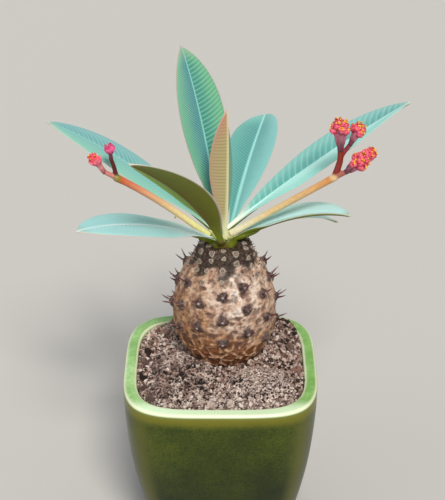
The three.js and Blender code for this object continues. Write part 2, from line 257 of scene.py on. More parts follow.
def addCamera():
    lift = math.radians(cameraView["elevation"])
    back = Vector((0, -math.cos(lift), math.sin(lift)))
    data = bpy.data.cameras.new("photoCamera")
    data.lens = cameraView["lens"]
    data.sensor_width = cameraView["sensor"]
    data.clip_start, data.clip_end = 0.01, 50
    camera = addObject("photoCamera", data)
    camera.location = (Vector(cameraView["target"]) + back * cameraView["distance"]) * mm
    camera.rotation_euler = (math.radians(90) - lift, 0, 0)
    bpy.context.scene.camera = camera


def addLamps():  # big soft lamps, far off, so that they light the whole floor evenly
    for name, (place, strength, angle, colour) in studio["lamps"].items():
        data = bpy.data.lights.new(name, "SUN")
        data.energy = strength
        data.angle = math.radians(angle)
        data.color = linear(colour)[:3]
        lamp = addObject(name, data)
        lamp.location = Vector(place) * mm
        lamp.rotation_euler = Vector(place).to_track_quat("Z", "Y").to_euler()


def addFloor():
    reach = studio["floorReach"]
    corners = [(-reach, -reach, 0), (reach, -reach, 0), (reach, reach, 0), (-reach, reach, 0)]
    floor = addObject("studioFloor", meshFrom("studioFloor", (corners, [(0, 1, 2, 3)]), mm))
    # matt paint: no mirror image of the pot, only its soft shadow
    floor.data.materials.append(finished(newMaterial("matPaintedFloor")[0], {
        "Base Color": studio["floorColour"], "Roughness": 0.8}))


def addSky():
    world = bpy.data.worlds.new("studioSky")
    world.use_nodes = True
    setInputs(world.node_tree.nodes["Background"], {
        "Color": studio["skyColour"], "Strength": studio["skyStrength"]})
    bpy.context.scene.world = world


addCamera()
addLamps()
addFloor()
addSky()
bpy.context.scene.view_settings.view_transform = "Standard"
print("camera, lamps and floor ready")


# Pot

pot = {
    "height": 76,
    "halfWidth": 40,  # at the rim
    "squareness": 4.1,  # exponent of the rounded square plan
    "taper": 0.0022,  # half width lost per squared millimetre below the rim
    "wall": 5.4,
    "floor": 7,
    "footHeight": 8,
    "footInset": 5.5,
    "rimRound": 1.4,
    "drainRadius": 2.4,
    "drainOffset": 12,
    "sides": 240,
    "wobble": 0.1,  # unevenness left by hand glazing
    "thinGlaze": 9.5,  # the glaze is browner this far down from the rim
    "paintedShadeBelow": (66, 20),  # painted shade: the glaze is painted darker between these heights, towards the bottom
    "paleInside": (66, 70),  # inside the pot, the pale glaze of the rim ends between these
    "rimHighlightFront": (-27, -35),  # painted highlight: the rim is painted paler towards the front
}


def outerHalf(z):
    return pot["halfWidth"] - pot["taper"] * (pot["height"] - z) ** 2


def innerHalf(z):
    return outerHalf(z) - pot["wall"]


def squareReach(points):  # half width of the rounded square through each point
    power = pot["squareness"]
    return (np.abs(points[:, 0]) ** power + np.abs(points[:, 1]) ** power) ** (1 / power)


def squareRing(half, z, sides):
    flat = roundFrom((1, 0), (0, 1), fullTurn(sides))
    flat = flat * (half / squareReach(flat))[:, None]
    return np.column_stack([flat, np.full(sides, float(z))])


def potLevels():  # half width and height of each ring, up the outside and down the inside
    height, rimRound, footHeight = pot["height"], pot["rimRound"], pot["footHeight"]
    levels = [(outerHalf(footHeight) - pot["footInset"] - inward, 0) for inward in (12, 4, 0.8)]
    for share in np.linspace(0, 1, 14):
        inset = pot["footInset"] * (1 - math.sqrt(1 - (1 - share) ** 2))
        levels.append((outerHalf(footHeight) - inset, footHeight * share))
    levels += [(outerHalf(z), z) for z in np.linspace(footHeight + 1.5, height - rimRound, 44)[:-1]]
    quarter = [(rimRound * (1 - math.cos(turn)), rimRound * (1 - math.sin(turn)))
               for turn in np.linspace(0, math.pi / 2, 7)]
    levels += [(outerHalf(height) - inward, height - down) for inward, down in quarter]
    levels += [(outerHalf(height) - rimRound - across * (pot["wall"] - 2 * rimRound), height)
               for across in np.linspace(0, 1, 6)[1:-1]]
    levels += [(innerHalf(height) + outward, height - down) for down, outward in quarter]
    levels += [(innerHalf(z), z) for z in np.linspace(height - 3, pot["floor"] + 4, 14)]
    levels.append((innerHalf(pot["floor"]) - 3, pot["floor"]))
    return levels


def potShape():
    points, faces = ringsShape([squareRing(half, z, pot["sides"]) for half, z in potLevels()])
    wave = pot["wobble"] * smoothStep(10, 30, points[:, 2]) * hashNoise(points, 14, 3.1)
    points[:, :2] *= (1 + wave / pot["halfWidth"])[:, None]
    return points, faces


def drilledPot():  # the pot's skin with four drain holes through its floor
    offset = pot["drainOffset"]
    drills = [tubeShape([(x, y, -4), (x, y, 3), (x, y, 12)], pot["drainRadius"], 32)
              for x in (-offset, offset) for y in (-offset, offset)]
    drill = addObject("drainDrills", meshFrom("drainDrills", joinedShape(drills)))
    shape = afterModifiers(potShape(), [("BOOLEAN", {"operation": "DIFFERENCE", "object": drill})])
    bpy.data.objects.remove(drill)
    return shape


def glazedStoneware():
    # Stoneware dipped in an olive ash glaze and fired: glossy, finely speckled, browner
    # under the rim, and pale green on the rim where it ran thin over a white slip.
    material, tree, mark = newMaterial("glazedStoneware", (
        "rim", "front", "edge", "thin", "low", "corner"))
    place = addNode(tree, "TexCoord", {}, "Object")
    mottle = addNode(tree, "TexNoise", {  # pooled patches 22 mm wide
        "Vector": place, "Scale": 1 / (22 * mm), "Detail": 5, "Roughness": 0.6})
    speckle = addNode(tree, "TexNoise", {  # mineral specks under a millimetre wide
        "Vector": place, "Scale": 1 / (0.9 * mm), "Detail": 3, "Roughness": 0.7})
    olive = addNode(tree, "ValToRGB", {"Fac": mottle, "stops": [
        (0.32, "#2c3a02"), (0.5, "#3a4803"), (0.68, "#4f580a")]})
    darkSpecks = addNode(tree, "MapRange", {
        "Value": speckle, "From Min": 0.48, "From Max": 0.38, "To Max": 0.55})
    paleSpecks = addNode(tree, "MapRange", {
        "Value": speckle, "From Min": 0.56, "From Max": 0.68, "To Max": 0.2})
    runs = addNode(tree, "Math", {"operation": "MULTIPLY_ADD", "Value": mottle,
                                  "Value_001": 0.7, "Value_002": mark["thin"]})
    thinned = addNode(tree, "MapRange", {"interpolation_type": "SMOOTHSTEP", "Value": runs,
                                         "From Min": 0.45, "From Max": 1.25, "To Max": 0.85})
    grainy = addNode(tree, "Math", {"operation": "MULTIPLY_ADD", "Value": speckle,
                                    "Value_001": 0.45, "Value_002": mottle})
    celadon = addNode(tree, "ValToRGB", {"Fac": grainy, "stops": [
        (0.55, "#6b9f45"), (0.7, "#82b35f"), (0.82, "#9bc97c"), (0.95, "#bcdfa2")]})
    colour = olive
    for blend, share, over in (
            ("MIX", darkSpecks, "#1d2705"), ("MIX", paleSpecks, "#767c2c"),
            # the low mark is painted shade, darker towards the bottom
            ("MULTIPLY", mark["low"], "#8a9764"), ("MIX", mark["corner"], "#5f6016"),
            ("MIX", thinned, "#78761c"), ("MIX", mark["rim"], celadon),
            # the front mark paints a highlight on the front of the rim
            ("MIX", mark["front"], "#e2f8d4"), ("MIX", mark["edge"], "#f6f3d8")):
        colour = addNode(tree, "Mix", {"blend_type": blend, "Factor": share, "A": colour,
                                       "B": over})
    peel = addNode(tree, "TexNoise", {  # orange peel in the melt, 2 mm across
        "Vector": place, "Scale": 1 / (2 * mm), "Detail": 3})
    bump = addNode(tree, "Bump", {"Strength": 0.3, "Distance": 0.12 * mm, "Height": peel})
    return finished(material, {"Base Color": colour, "Normal": bump, "Roughness": 0.33,
                               "IOR": 1.5, "Specular IOR Level": 0.35})


def addPot():
    points, faces = drilledPot()
    reach, height, top = squareReach(points), points[:, 2], pot["height"]
    onTop = smoothStep(top - 1.5, top - 0.6, height)
    inside = smoothStep(0.8, 1.6, outerHalf(height) - reach)
    diagonal = np.hypot(points[:, 0], points[:, 1]) / np.maximum(reach, 1)
    marks = {
        "rim": np.maximum(onTop, inside * smoothStep(*pot["paleInside"], height)),
        # painted highlight on the rim, paler towards the front
        "front": 0.85 * onTop * smoothStep(*pot["rimHighlightFront"], points[:, 1]),
        # pale lines of thin glaze along both rim edges; the near-white outer line is also a painted
        # highlight
        "edge": onTop * np.maximum(0.9 * bell(reach - (innerHalf(top) + 0.5), 0.4),
                                   0.8 * bell(reach - pot["halfWidth"] + 0.45, 0.4)),
        "thin": smoothStep(top - pot["thinGlaze"], top - 1, height),
        # painted shade, darker towards the bottom
        "low": smoothStep(*pot["paintedShadeBelow"], height),
        "corner": 0.7 * bell(diagonal - 1.2, 0.018),
    }
    addPiece("glazedPot", (points, faces), [glazedStoneware()], "pot", "pot_glaze", marks)


addPot()
print("pot ready")


# Swollen stem

caudex = {
    "place": (1.7, 10.3, 77.5),  # where the swollen stem leaves the grit
    "columns": 330,
    "rootRows": 12,
    "rows": 225,
    # radius and height above the grit, from the root tip to the top of the neck
    "profile": [
        (0, -22), (5.4, -17), (10.6, -9), (15, 0), (18, 5), (20, 10), (21.1, 16), (21, 24),
        (19.8, 30), (16.5, 38), (13.5, 42), (12, 45), (10.9, 48.4), (8.8, 49.6), (0, 49.9)],
    "net": {"size": 4.6, "height": 0.42},  # raised corky strands low down
    "netEnds": (24, 7),  # the strands fade in between these heights
    "wrinkles": {"size": 4.0, "height": 1.0},  # folds of the stretched skin
    "crackle": {"size": 1.3, "height": 0.25},
    "neckFrom": 41.5,  # height where the grey neck takes over from the shoulder, which is painted pale as if lit
    "paintedLightFrom": (8, 30),  # where painted light makes the bark cream, between these heights
    "paintedLightSide": (5, 11),  # and most of all on this line, fading over this width
    "seed": 5,
    # colours of the bark from its darkest patches to its palest
    "tones": {
        # pale: the cream that painted light lays on the shoulder
        "pale": [(0.32, "#82604f"), (0.44, "#c4a28e"), (0.54, "#ead7c9"), (0.68, "#f8f0ea")],
        "tan": [(0.3, "#5e3a22"), (0.43, "#946240"), (0.56, "#b78558"), (0.72, "#dcba92")],
        "rust": [(0.32, "#3c1e10"), (0.5, "#7c4423"), (0.68, "#b3733c")],
        "neck": [(0.33, "#18120e"), (0.47, "#342820"), (0.6, "#503e30"), (0.72, "#82705c")],
        "wart": [(0.35, "#2b1d1b"), (0.5, "#4d3a37"), (0.68, "#826a64")]},
}

tubercles = {
    "heading": -92,  # of the tubercle that the spiral is counted from
    "turn": -360 * 5 / 13,  # from one tubercle to the next
    "height": 14.4,  # of that tubercle above the grit
    "climb": 0.78,  # along the surface, on the swollen stem
    "neckClimb": 0.3,
    "neckStart": 22,
    "neckEnd": 44,
    "first": -4,
    "spinesFrom": -1,
    "scarsFrom": 34,
    "last": 82,
    "radius": 2.1,
    "rise": 1.7,
    "reach": 6,  # from the middle of a tubercle to where the skin is left as it is
    "foot": (0.4, 4.2),  # height and spread of the swelling that a wart stands on
    "groove": (0.4, 0.95, 0.3),  # depth, radius and width of the ring on its top
    "scarRadius": 1.6,
    "scarRise": 0.7,
    "scarDrift": (0.45, 0.35),  # how far scars stray from the spiral, sideways and up
    "spineRadius": 0.5,
    "spineShort": 2.2,
    "spineLong": 5.8,
    "spineSpread": 24,
    "spineLift": 12,
    "stubRadius": 0.24,
    "stubLength": (1.2, 1.1),  # at the least, and what the strongest ones add
    "stubApart": 1.35,
    "seed": 11,
}

# Growing tip: each cushion reaches this far along its leaf or flower stalk, with this
# spread in degrees
crown = {
    "place": (0.9, 10.3, 127.4), "size": (6.2, 5.6, 4.6), "cushion": (7.5, 15),
    "cushions": {"leaf_right_low": (17, 10), "leaf_left_low": (13, 10), "leaf_front": (9.5, 21)},
}


def ridged(points, size, shift):  # sharp crests between soft hollows, from 0 to about 1
    offset = Vector((shift, 0, -shift))
    return np.array([noise.ridged_multi_fractal(Vector(p) / size + offset, 0.9, 2.1, 4, 1.0, 2.0)
                     for p in points]) / 2


def splinePoint(points, share):  # on a smooth curve through the points, share from 0 to 1
    last = len(points) - 1
    start = min(int(share * last), last - 1)
    t = share * last - start
    near = [points[min(max(start + step, 0), last)] for step in (-1, 0, 1, 2)]
    a, b, c, d = (np.array(point, float) for point in near)
    v0, v1 = (c - a) / 2, (d - b) / 2
    return (2 * b - 2 * c + v0 + v1) * t ** 3 + (3 * c - 3 * b - 2 * v0 - v1) * t ** 2 + v0 * t + b


stemLine = np.array([splinePoint(caudex["profile"], share) for share in np.linspace(0, 1, 3001)])
stemArc = np.concatenate([[0], np.cumsum(np.linalg.norm(np.diff(stemLine, axis=0), axis=1))])
stemWall = stemLine[:2600]  # without the dome that closes the neck


def profileAt(arc):  # radius and height above the grit at distances along the profile
    return [np.interp(arc, stemArc, stemLine[:, side]) for side in (0, 1)]


def stemAt(arc):  # radius, height and slope at distances along the profile
    ahead, behind = profileAt(np.add(arc, 0.05)), profileAt(np.subtract(arc, 0.05))
    return *profileAt(arc), unit(np.subtract(ahead, behind).T)


def arcAtHeight(height):
    return stemArc[np.argmax(stemLine[:, 1] >= height)]


def stemRadius(z):  # radius of the swollen stem at a height above the floor
    return np.interp(np.subtract(z, caudex["place"][2]), stemWall[:, 1], stemWall[:, 0])


def tubercleAt(count):  # point, outward, sideways and upward directions on the stem, and heading
    t = tubercles
    slowed = max(0, min(count, t["neckEnd"]) - t["neckStart"])
    lost = t["climb"] - t["neckClimb"]
    arc = arcAtHeight(t["height"]) + t["climb"] * count
    arc -= lost * slowed ** 2 / (2 * (t["neckEnd"] - t["neckStart"]))
    arc -= lost * max(0, count - t["neckEnd"])
    radius, height, slope = stemAt(min(arc, stemArc[-1]))
    heading = math.radians(t["heading"] + t["turn"] * count)
    radial = np.array([math.cos(heading), math.sin(heading), 0])
    out = unit(radial * slope[1] - np.array([0, 0, slope[0]]))
    side = np.array([-radial[1], radial[0], 0])
    point = np.array(caudex["place"]) + radial * radius + np.array([0, 0, height])
    return point, out, side, np.cross(out, side), heading


def stemSkin():  # points and outward directions over the stem, ring after ring
    grit = arcAtHeight(-1.5)
    arcs = np.concatenate([np.linspace(0.4, grit, caudex["rootRows"], endpoint=False),
                           np.linspace(grit, stemArc[-1] - 2, caudex["rows"])])
    radius, height, slope = stemAt(arcs)
    radial = roundFrom((1, 0, 0), (0, 1, 0), fullTurn(caudex["columns"]))
    points = radius[:, None, None] * radial + height[:, None, None] * np.array([0, 0, 1])
    out = slope[:, 1, None, None] * radial - slope[:, 0, None, None] * np.array([0, 0, 1])
    return (points + np.array(caudex["place"])).reshape(-1, 3), out.reshape(-1, 3)


def wartRelief(distance):  # a knob with a ring-shaped groove round the scar on its top
    radius, rise = tubercles["radius"], tubercles["rise"]
    footRise, footSpread = tubercles["foot"]
    grooveDepth, grooveRadius, grooveWidth = tubercles["groove"]
    knob = rise * smoothStep(radius + 0.6, 0.3 * radius, distance)
    knob += footRise * bell(distance, footSpread)
    knob -= grooveDepth * bell(distance - grooveRadius, grooveWidth)
    return knob, {"wart": smoothStep(radius + 0.75, radius - 0.1, distance),
                  "wartTip": 0.75 * smoothStep(0.6, 0.2, distance)}


def scarRelief(distance, size):  # a low rim with a small boss in its middle
    radius, rise = tubercles["scarRadius"] * size, tubercles["scarRise"]
    knob = rise * smoothStep(radius + 0.3, radius - 0.5, distance)
    knob -= 0.75 * rise * smoothStep(radius - 0.45, 0.3, distance)
    knob += 0.6 * rise * bell(distance, 0.42)
    ring = bell(distance - radius + 0.4, 0.24)
    return knob, {"scar": smoothStep(radius, radius - 0.5, distance),
                  "scarRing": np.maximum(ring, 0.7 * bell(distance, 0.33))}


def tubercleRelief(points, rough, chance):
    # How far warts and leaf scars lift the skin, and where they darken or ring it
    lift = np.zeros(len(points))
    marks = {name: np.zeros(len(points)) for name in ("wart", "wartTip", "scar", "scarRing")}
    for count in range(tubercles["first"], tubercles["last"]):
        centre, out, side, up, _ = tubercleAt(count)
        isScar = count >= tubercles["scarsFrom"]
        if isScar:
            sideways, upwards = (chance.gauss(0, drift) for drift in tubercles["scarDrift"])
            centre = centre + side * sideways + up * upwards
        away = points - centre
        close = np.flatnonzero((away ** 2).sum(1) < tubercles["reach"] ** 2)
        across, along = away[close] @ side, away[close] @ up
        wobble = 1 + 0.12 * np.sin(3 * np.arctan2(along, across) + 6 * chance.random())
        distance = np.hypot(across, along * 1.08) / wobble
        distance += (0.16 if isScar else 0.5) * rough[close]
        size = chance.uniform(0.68, 0.95)
        knob, shown = scarRelief(distance, size) if isScar else wartRelief(distance)
        lift[close] = np.maximum(lift[close], knob)
        for name, values in shown.items():
            marks[name][close] = np.maximum(marks[name][close], values)
    return lift, marks


def horn(foot, direction, bend, length, radius, sides):  # one tapered spine
    steps = np.linspace(0, 1, 7)
    path = [foot + direction * length * t + bend * length * 0.12 * t * t for t in steps]
    return tubeShape(path, radius * (1 - steps) ** 0.8 + 0.05, sides)


def spineShapes():
    # Paired spines on every wart, then short dry stubs between the scars of the neck
    t, state, shapes = tubercles, tubercles["seed"], []
    spread, lift = (math.tan(math.radians(t[angle])) for angle in ("spineSpread", "spineLift"))
    stub, more = t["stubLength"]
    for count in range(t["first"], t["last"]):
        point, out, side, up, heading = tubercleAt(count)
        state = state * 16807 % 2147483647  # the same draws as for the spines of the solids
        vigour = (0.5 + 0.5 * state / 2147483647) * abs(math.cos(heading)) ** 0.7
        length = t["spineShort"] + (t["spineLong"] - t["spineShort"]) * vigour
        for sideways in (-1, 1):
            direction = unit(out + side * spread * sideways + up * lift)
            if count >= t["scarsFrom"]:
                foot = point + side * t["stubApart"] * sideways - out * 0.3 + up * 0.3
                shapes.append(horn(foot, direction, up, stub + more * vigour, t["stubRadius"], 5))
            elif count >= t["spinesFrom"]:
                foot = point + out * 0.3 * t["rise"] + side * 0.35 * t["radius"] * sideways
                shapes.append(horn(foot, direction, up, length, t["spineRadius"], 7))
    return shapes


def crownShape():
    # The growing tip: a low dome drawn out into a cushion under each leaf and flower stalk
    centre = np.array(crown["place"])
    directions, faces = roundedShape(6)
    dome = 1 / np.linalg.norm(directions / np.array(crown["size"]), axis=1)
    grown = dome ** 3
    for name, growth in [*leaves.items(), *stalks.items()]:
        length, spread = crown["cushions"].get(name, crown["cushion"])
        path = midline(growth, 60)[0] - centre
        target = path[np.argmin(np.abs(np.linalg.norm(path, axis=1) - length))] - (0, 0, 1.1)
        angle = np.degrees(np.arccos(np.clip(directions @ unit(target), -1, 1)))
        grown = grown + (np.linalg.norm(target) * bell(angle, spread)) ** 3
    reach = grown ** (1 / 3) + 0.25 * hashNoise(directions, 0.5, 4)
    return directions * reach[:, None] + centre, faces


def corkyBark():
    # Bark of an old swollen stem: dry cork, matt, painted cream on its shoulder as painted light,
    # orange-brown low down, painted dark in its creases as painted shade, with horny warts and grey
    # leaf scars.
    material, tree, mark = newMaterial("corkyBark", (
        "lowness", "neck", "ridge", "crease", "wart", "wartTip", "scar", "scarRing", "light"))
    place = addNode(tree, "TexCoord", {}, "Object")
    patches = addNode(tree, "TexNoise", {  # blotches 4 mm wide
        "Vector": place, "Scale": 1 / (4 * mm), "Detail": 7, "Roughness": 0.72})
    flecks = addNode(tree, "TexNoise", {  # flaking cork, 1 mm
        "Vector": place, "Scale": 1 / mm, "Detail": 4, "Roughness": 0.7})
    tones = {name: addNode(tree, "ValToRGB", {
        "Fac": flecks if name in ("neck", "wart") else patches, "stops": stops})
        for name, stops in caudex["tones"].items()}
    colour = tones["tan"]
    # the light mark paints the lit shoulder cream; the crease mark paints shade into wrinkles and
    # cracks
    for name, over in (
            ("light", tones["pale"]), ("lowness", tones["rust"]), ("ridge", "#dfb694"),
            ("crease", "#553a2f"), ("neck", tones["neck"]), ("wart", tones["wart"]),
            ("wartTip", "#cabab2"), ("scar", "#594a40"), ("scarRing", "#b5a698")):
        colour = addNode(tree, "Mix", {"Factor": mark[name], "A": colour, "B": over})
    bump = addNode(tree, "Bump", {"Strength": 0.7, "Distance": 0.3 * mm, "Height": flecks})
    return finished(material, {"Base Color": colour, "Normal": bump, "Roughness": 0.58,
                               "IOR": 1.45})


def dryHorn():  # spines of hard dry horn: smooth, dark wine red, greyer at the tip
    material, tree, _ = newMaterial("dryHorn")
    place = addNode(tree, "TexCoord", {}, "Object")
    streaks = addNode(tree, "TexNoise", {"Vector": place, "Scale": 1 / (3 * mm), "Detail": 3})
    colour = addNode(tree, "ValToRGB", {"Fac": streaks, "stops": [
        (0.35, "#35191d"), (0.5, "#5e2f37"), (0.68, "#9a7a76")]})
    return finished(material, {"Base Color": colour, "Roughness": 0.4, "IOR": 1.5})


def crownSkin():  # living skin of the growing tip: waxy, olive below and yellow between the leaves
    material, tree, mark = newMaterial("crownSkin", ("upward", "dusty"))
    place = addNode(tree, "TexCoord", {}, "Object")
    patches = addNode(tree, "TexNoise", {"Vector": place, "Scale": 1 / (4 * mm), "Detail": 4})
    colour = addNode(tree, "ValToRGB", {"Fac": patches, "stops": [
        (0.3, "#4d5405"), (0.5, "#5f6b08"), (0.72, "#7a8a12")]})
    for name, over in (("upward", "#dcd9a0"), ("dusty", "#5b3f22")):
        colour = addNode(tree, "Mix", {"Factor": mark[name], "A": colour, "B": over})
    return finished(material, {"Base Color": colour, "Roughness": 0.42, "IOR": 1.42})


def barkRelief(points, height):
    # Wrinkles, strands and cracks of the bark between its warts: height and colour marks
    wrinkles, net, crackle = caudex["wrinkles"], caudex["net"], caudex["crackle"]
    netted = smoothStep(*caudex["netEnds"], height + 5 * hashNoise(points, 8, 4))
    neck = smoothStep(0, 2.2, height - caudex["neckFrom"] + 4 * hashNoise(points, 5, 8))
    folds = np.clip(ridged(points * (1, 1, 1.25), wrinkles["size"], 2), 0, 1.3)
    cracks = np.clip(ridged(points * (1, 1, 0.7), crackle["size"], 6), 0, 1.2)
    bent = points * (1, 1, 0.62) + 0.9 * np.stack(
        [hashNoise(points, 3.2, shift) for shift in (1, 5, 9)], -1)
    nearest, second = scatterDistances(bent, net["size"], 0)[:, :2].T
    strand = smoothStep(0.2, 0.03, second - nearest)  # on the walls between cells
    strand = strand * smoothStep(-0.35, 0.15, hashNoise(points, 2.4, 7))
    relief = wrinkles["height"] * (folds - 0.5) * (1 - 0.5 * netted) * (1 - 0.3 * neck)
    relief += crackle["height"] * (cracks - 0.5)
    relief += net["height"] * strand * netted
    # painted shade: darker in the hollows of the wrinkles and cracks
    crease = smoothStep(0.75, 0.25, folds) * 0.75 + smoothStep(0.5, 0.15, cracks) * 0.35
    return relief, {
        "neck": neck, "ridge": strand * (0.15 + 0.75 * netted) * (1 - neck),
        "lowness": netted * (1 - strand) * 0.75,
        "crease": np.clip(crease, 0, 0.9) * (1 - 0.6 * strand)}


def stemShape():  # the stem with its warts, scars and bark, and its colour marks
    points, out = stemSkin()
    height = points[:, 2] - caudex["place"][2]
    chance = random.Random(caudex["seed"])
    lift, marks = tubercleRelief(points, hashNoise(points, 1.1, 3), chance)
    relief, barkMarks = barkRelief(points, height)
    flat = 1 - 0.75 * np.clip(lift / tubercles["rise"], 0, 1)
    skin = points + out * ((lift + relief * flat) * smoothStep(-1.5, 0.5, height))[:, None]
    side = points[:, 0] - caudex["place"][0]
    paintedLightHeight = height + 0.5 * side + 14 * hashNoise(points, 5, 9)
    middle, width = caudex["paintedLightSide"]
    # painted light: cream where the light falls, high on the shoulder and right of the middle
    light = smoothStep(*caudex["paintedLightFrom"], paintedLightHeight) * (0.3 + 0.7 * bell(side - middle, width))
    rows = caudex["rootRows"] + caudex["rows"]
    shape = ringsShape(skin.reshape(rows, caudex["columns"], 3))
    return shape, marks | barkMarks | {"light": light}


def crownMarks(points):  # where the growing tip is yellow, and where it is brown at the front
    x, y, z = (points - np.array(crown["place"])).T
    outward = np.hypot(x, y)
    return {"upward": smoothStep(2.2, 4.2, z - 0.12 * outward) * smoothStep(9, 5, outward),
            "dusty": 0.7 * smoothStep(4.5, 2, np.abs(x)) * smoothStep(-3, -6, y)}


def addCaudex():
    stem, stemMarks = stemShape()
    tip = crownShape()
    shapes = [stem, joinedShape(spineShapes()), tip]
    marks = joinedMarks(shapes, [stemMarks, {}, crownMarks(tip[0])])
    faceMaterials = np.repeat([0, 1, 2], [len(faces) for _, faces in shapes])
    addPiece("swollenStem", joinedShape(shapes), [corkyBark(), dryHorn(), crownSkin()],
             "caudex", "stem_bark", marks, faceMaterials)


# Leaves

# Each leaf: seat from the growing tip's centre, heading and its swing towards the tip,
# rise at the base and the tip, length, width, roll at base and tip, fold, extra fold of
# its base, spacing and slope of the side veins in its first and second half, and the
# looks of its upper face. The first half is the one to the left of its heading. The
# lower face is olive and the slot leaf_blue_green where nothing else is said.
leaves = {
    "leaf_back_left": {
        "seat": (-1, 2, 3.8), "heading": 121.4, "swing": 12.5, "rise": (74.5, 63.6),
        "length": 76.7, "width": 21.9, "roll": (-1.8, 1.5), "fold": 10.9, "trough": 20,
        "veins": ((1.15, 0.75), (1.75, 0.2)), "upper": "striped", "slot": "leaf_green"},
    "leaf_young": {
        "seat": (1, -3.3, 3.3), "heading": -51.2, "swing": 19.2, "rise": (87.3, 91.6),
        "length": 56.2, "width": 16.5, "roll": (-3.6, 11.4), "fold": 23.7, "trough": 12,
        "veins": ((1.1, 0.1), (1.4, 0.1)), "upper": "blue", "lower": "pink",
        "slot": "leaf_pink"},
    "leaf_back_right": {
        "seat": (2.6, 3.8, 1.6), "heading": 78.1, "swing": -5.1, "rise": (22.4, 17),
        "length": 72.6, "width": 22.3, "roll": (15, -18), "fold": 17, "trough": 20,
        "blunt": 0.56, "veins": ((1.5, 0.45), (1.5, 0.45)), "upper": "blue"},
    "leaf_right_long": {
        "seat": (2, 2.3, 4.7), "heading": 22.5, "swing": -27.8, "rise": (32.1, 35.1),
        "length": 90.2, "width": 23.2, "roll": (9.9, -4), "fold": 10.8, "trough": 22,
        "veins": ((3.0, 0.35), (1.9, 0.6)), "upper": "barred"},
    "leaf_right_low": {
        "seat": (2.9, -1.2, 1.4), "heading": -5, "swing": -19.9, "rise": (29.9, 2.5),
        "length": 52.4, "width": 21.2, "roll": (1.7, -14.9), "fold": 14.7, "trough": 30,
        "veins": ((1.9, 0.5), (1.9, 0.5)), "upper": "pale"},
    "leaf_right_behind": {
        "seat": (6.1, 3.4, 2), "heading": 41.7, "swing": -12.6, "rise": (3, -32.9),
        "length": 56.4, "width": 16, "roll": (-16.4, -7.8), "fold": 2.1, "trough": 20,
        "veins": ((1.9, 0.5), (1.9, 0.5)), "upper": "pale"},
    "leaf_left_low": {
        "seat": (-3.5, -2.5, 2.2), "heading": 211.1, "swing": 6.6, "rise": (29.4, 3.8),
        "length": 66.4, "width": 23.9, "roll": (-8.9, 3.8), "fold": 0.5, "trough": 22,
        "veins": ((1.9, 0.6), (1.35, 0.9)), "upper": "silvery"},
    "leaf_left_long": {
        "seat": (-3.2, 2.2, 3.9), "heading": 168.5, "swing": 17.4, "rise": (40.2, 26.4),
        "length": 81.1, "width": 23, "roll": (-8.9, 3.2), "fold": 0.8, "trough": 22,
        "veins": ((1.9, 0.6), (2.3, 0.45)), "upper": "barredLeft"},
    "leaf_front": {
        "seat": (-0.2, -5.1, 2.5), "heading": -112.1, "swing": -31.9, "rise": (50.2, 35.1),
        "length": 80.7, "width": 23.1, "roll": (-9.8, 23), "fold": 11.9, "trough": 14,
        "veins": ((2.2, 0.4), (2.2, 0.4)), "upper": "blue", "slot": "leaf_olive"},
}

blade = {
    "thickness": 0.8,
    "ribDepth": 0.9,  # extra depth of the midrib at the leaf base
    "ribTip": 0.2,
    "ribWidth": (0.45, 0.65),  # at the tip, and what the base adds
    "channel": (0.25, 0.5),  # depth and width of the groove over the midrib at the leaf base
    "camber": 0.1,  # bulge of each half of the blade
    "stalk": 0.12,  # width at the base over full width
    "tipHalfWidth": 0.35,
    "station": 0.33,  # distance between two rings round the blade
    "wide": 1.4,  # exponents of the outline, towards the base and the tip
    "blunt": 0.78,
    "veinCurve": 0.018,  # bend of the side veins towards the tip
    "quilting": 0.05,  # height of the blade between two side veins
    "troughReach": 0.4,  # share of the length where the extra fold has run out
    "columns": (0, 0.03, 0.06, 0.1, 0.15, 0.22, 0.3, 0.39, 0.48, 0.57, 0.66, 0.75, 0.83,
                0.9, 0.95, 0.98, 1),  # from the midrib to the margin
}

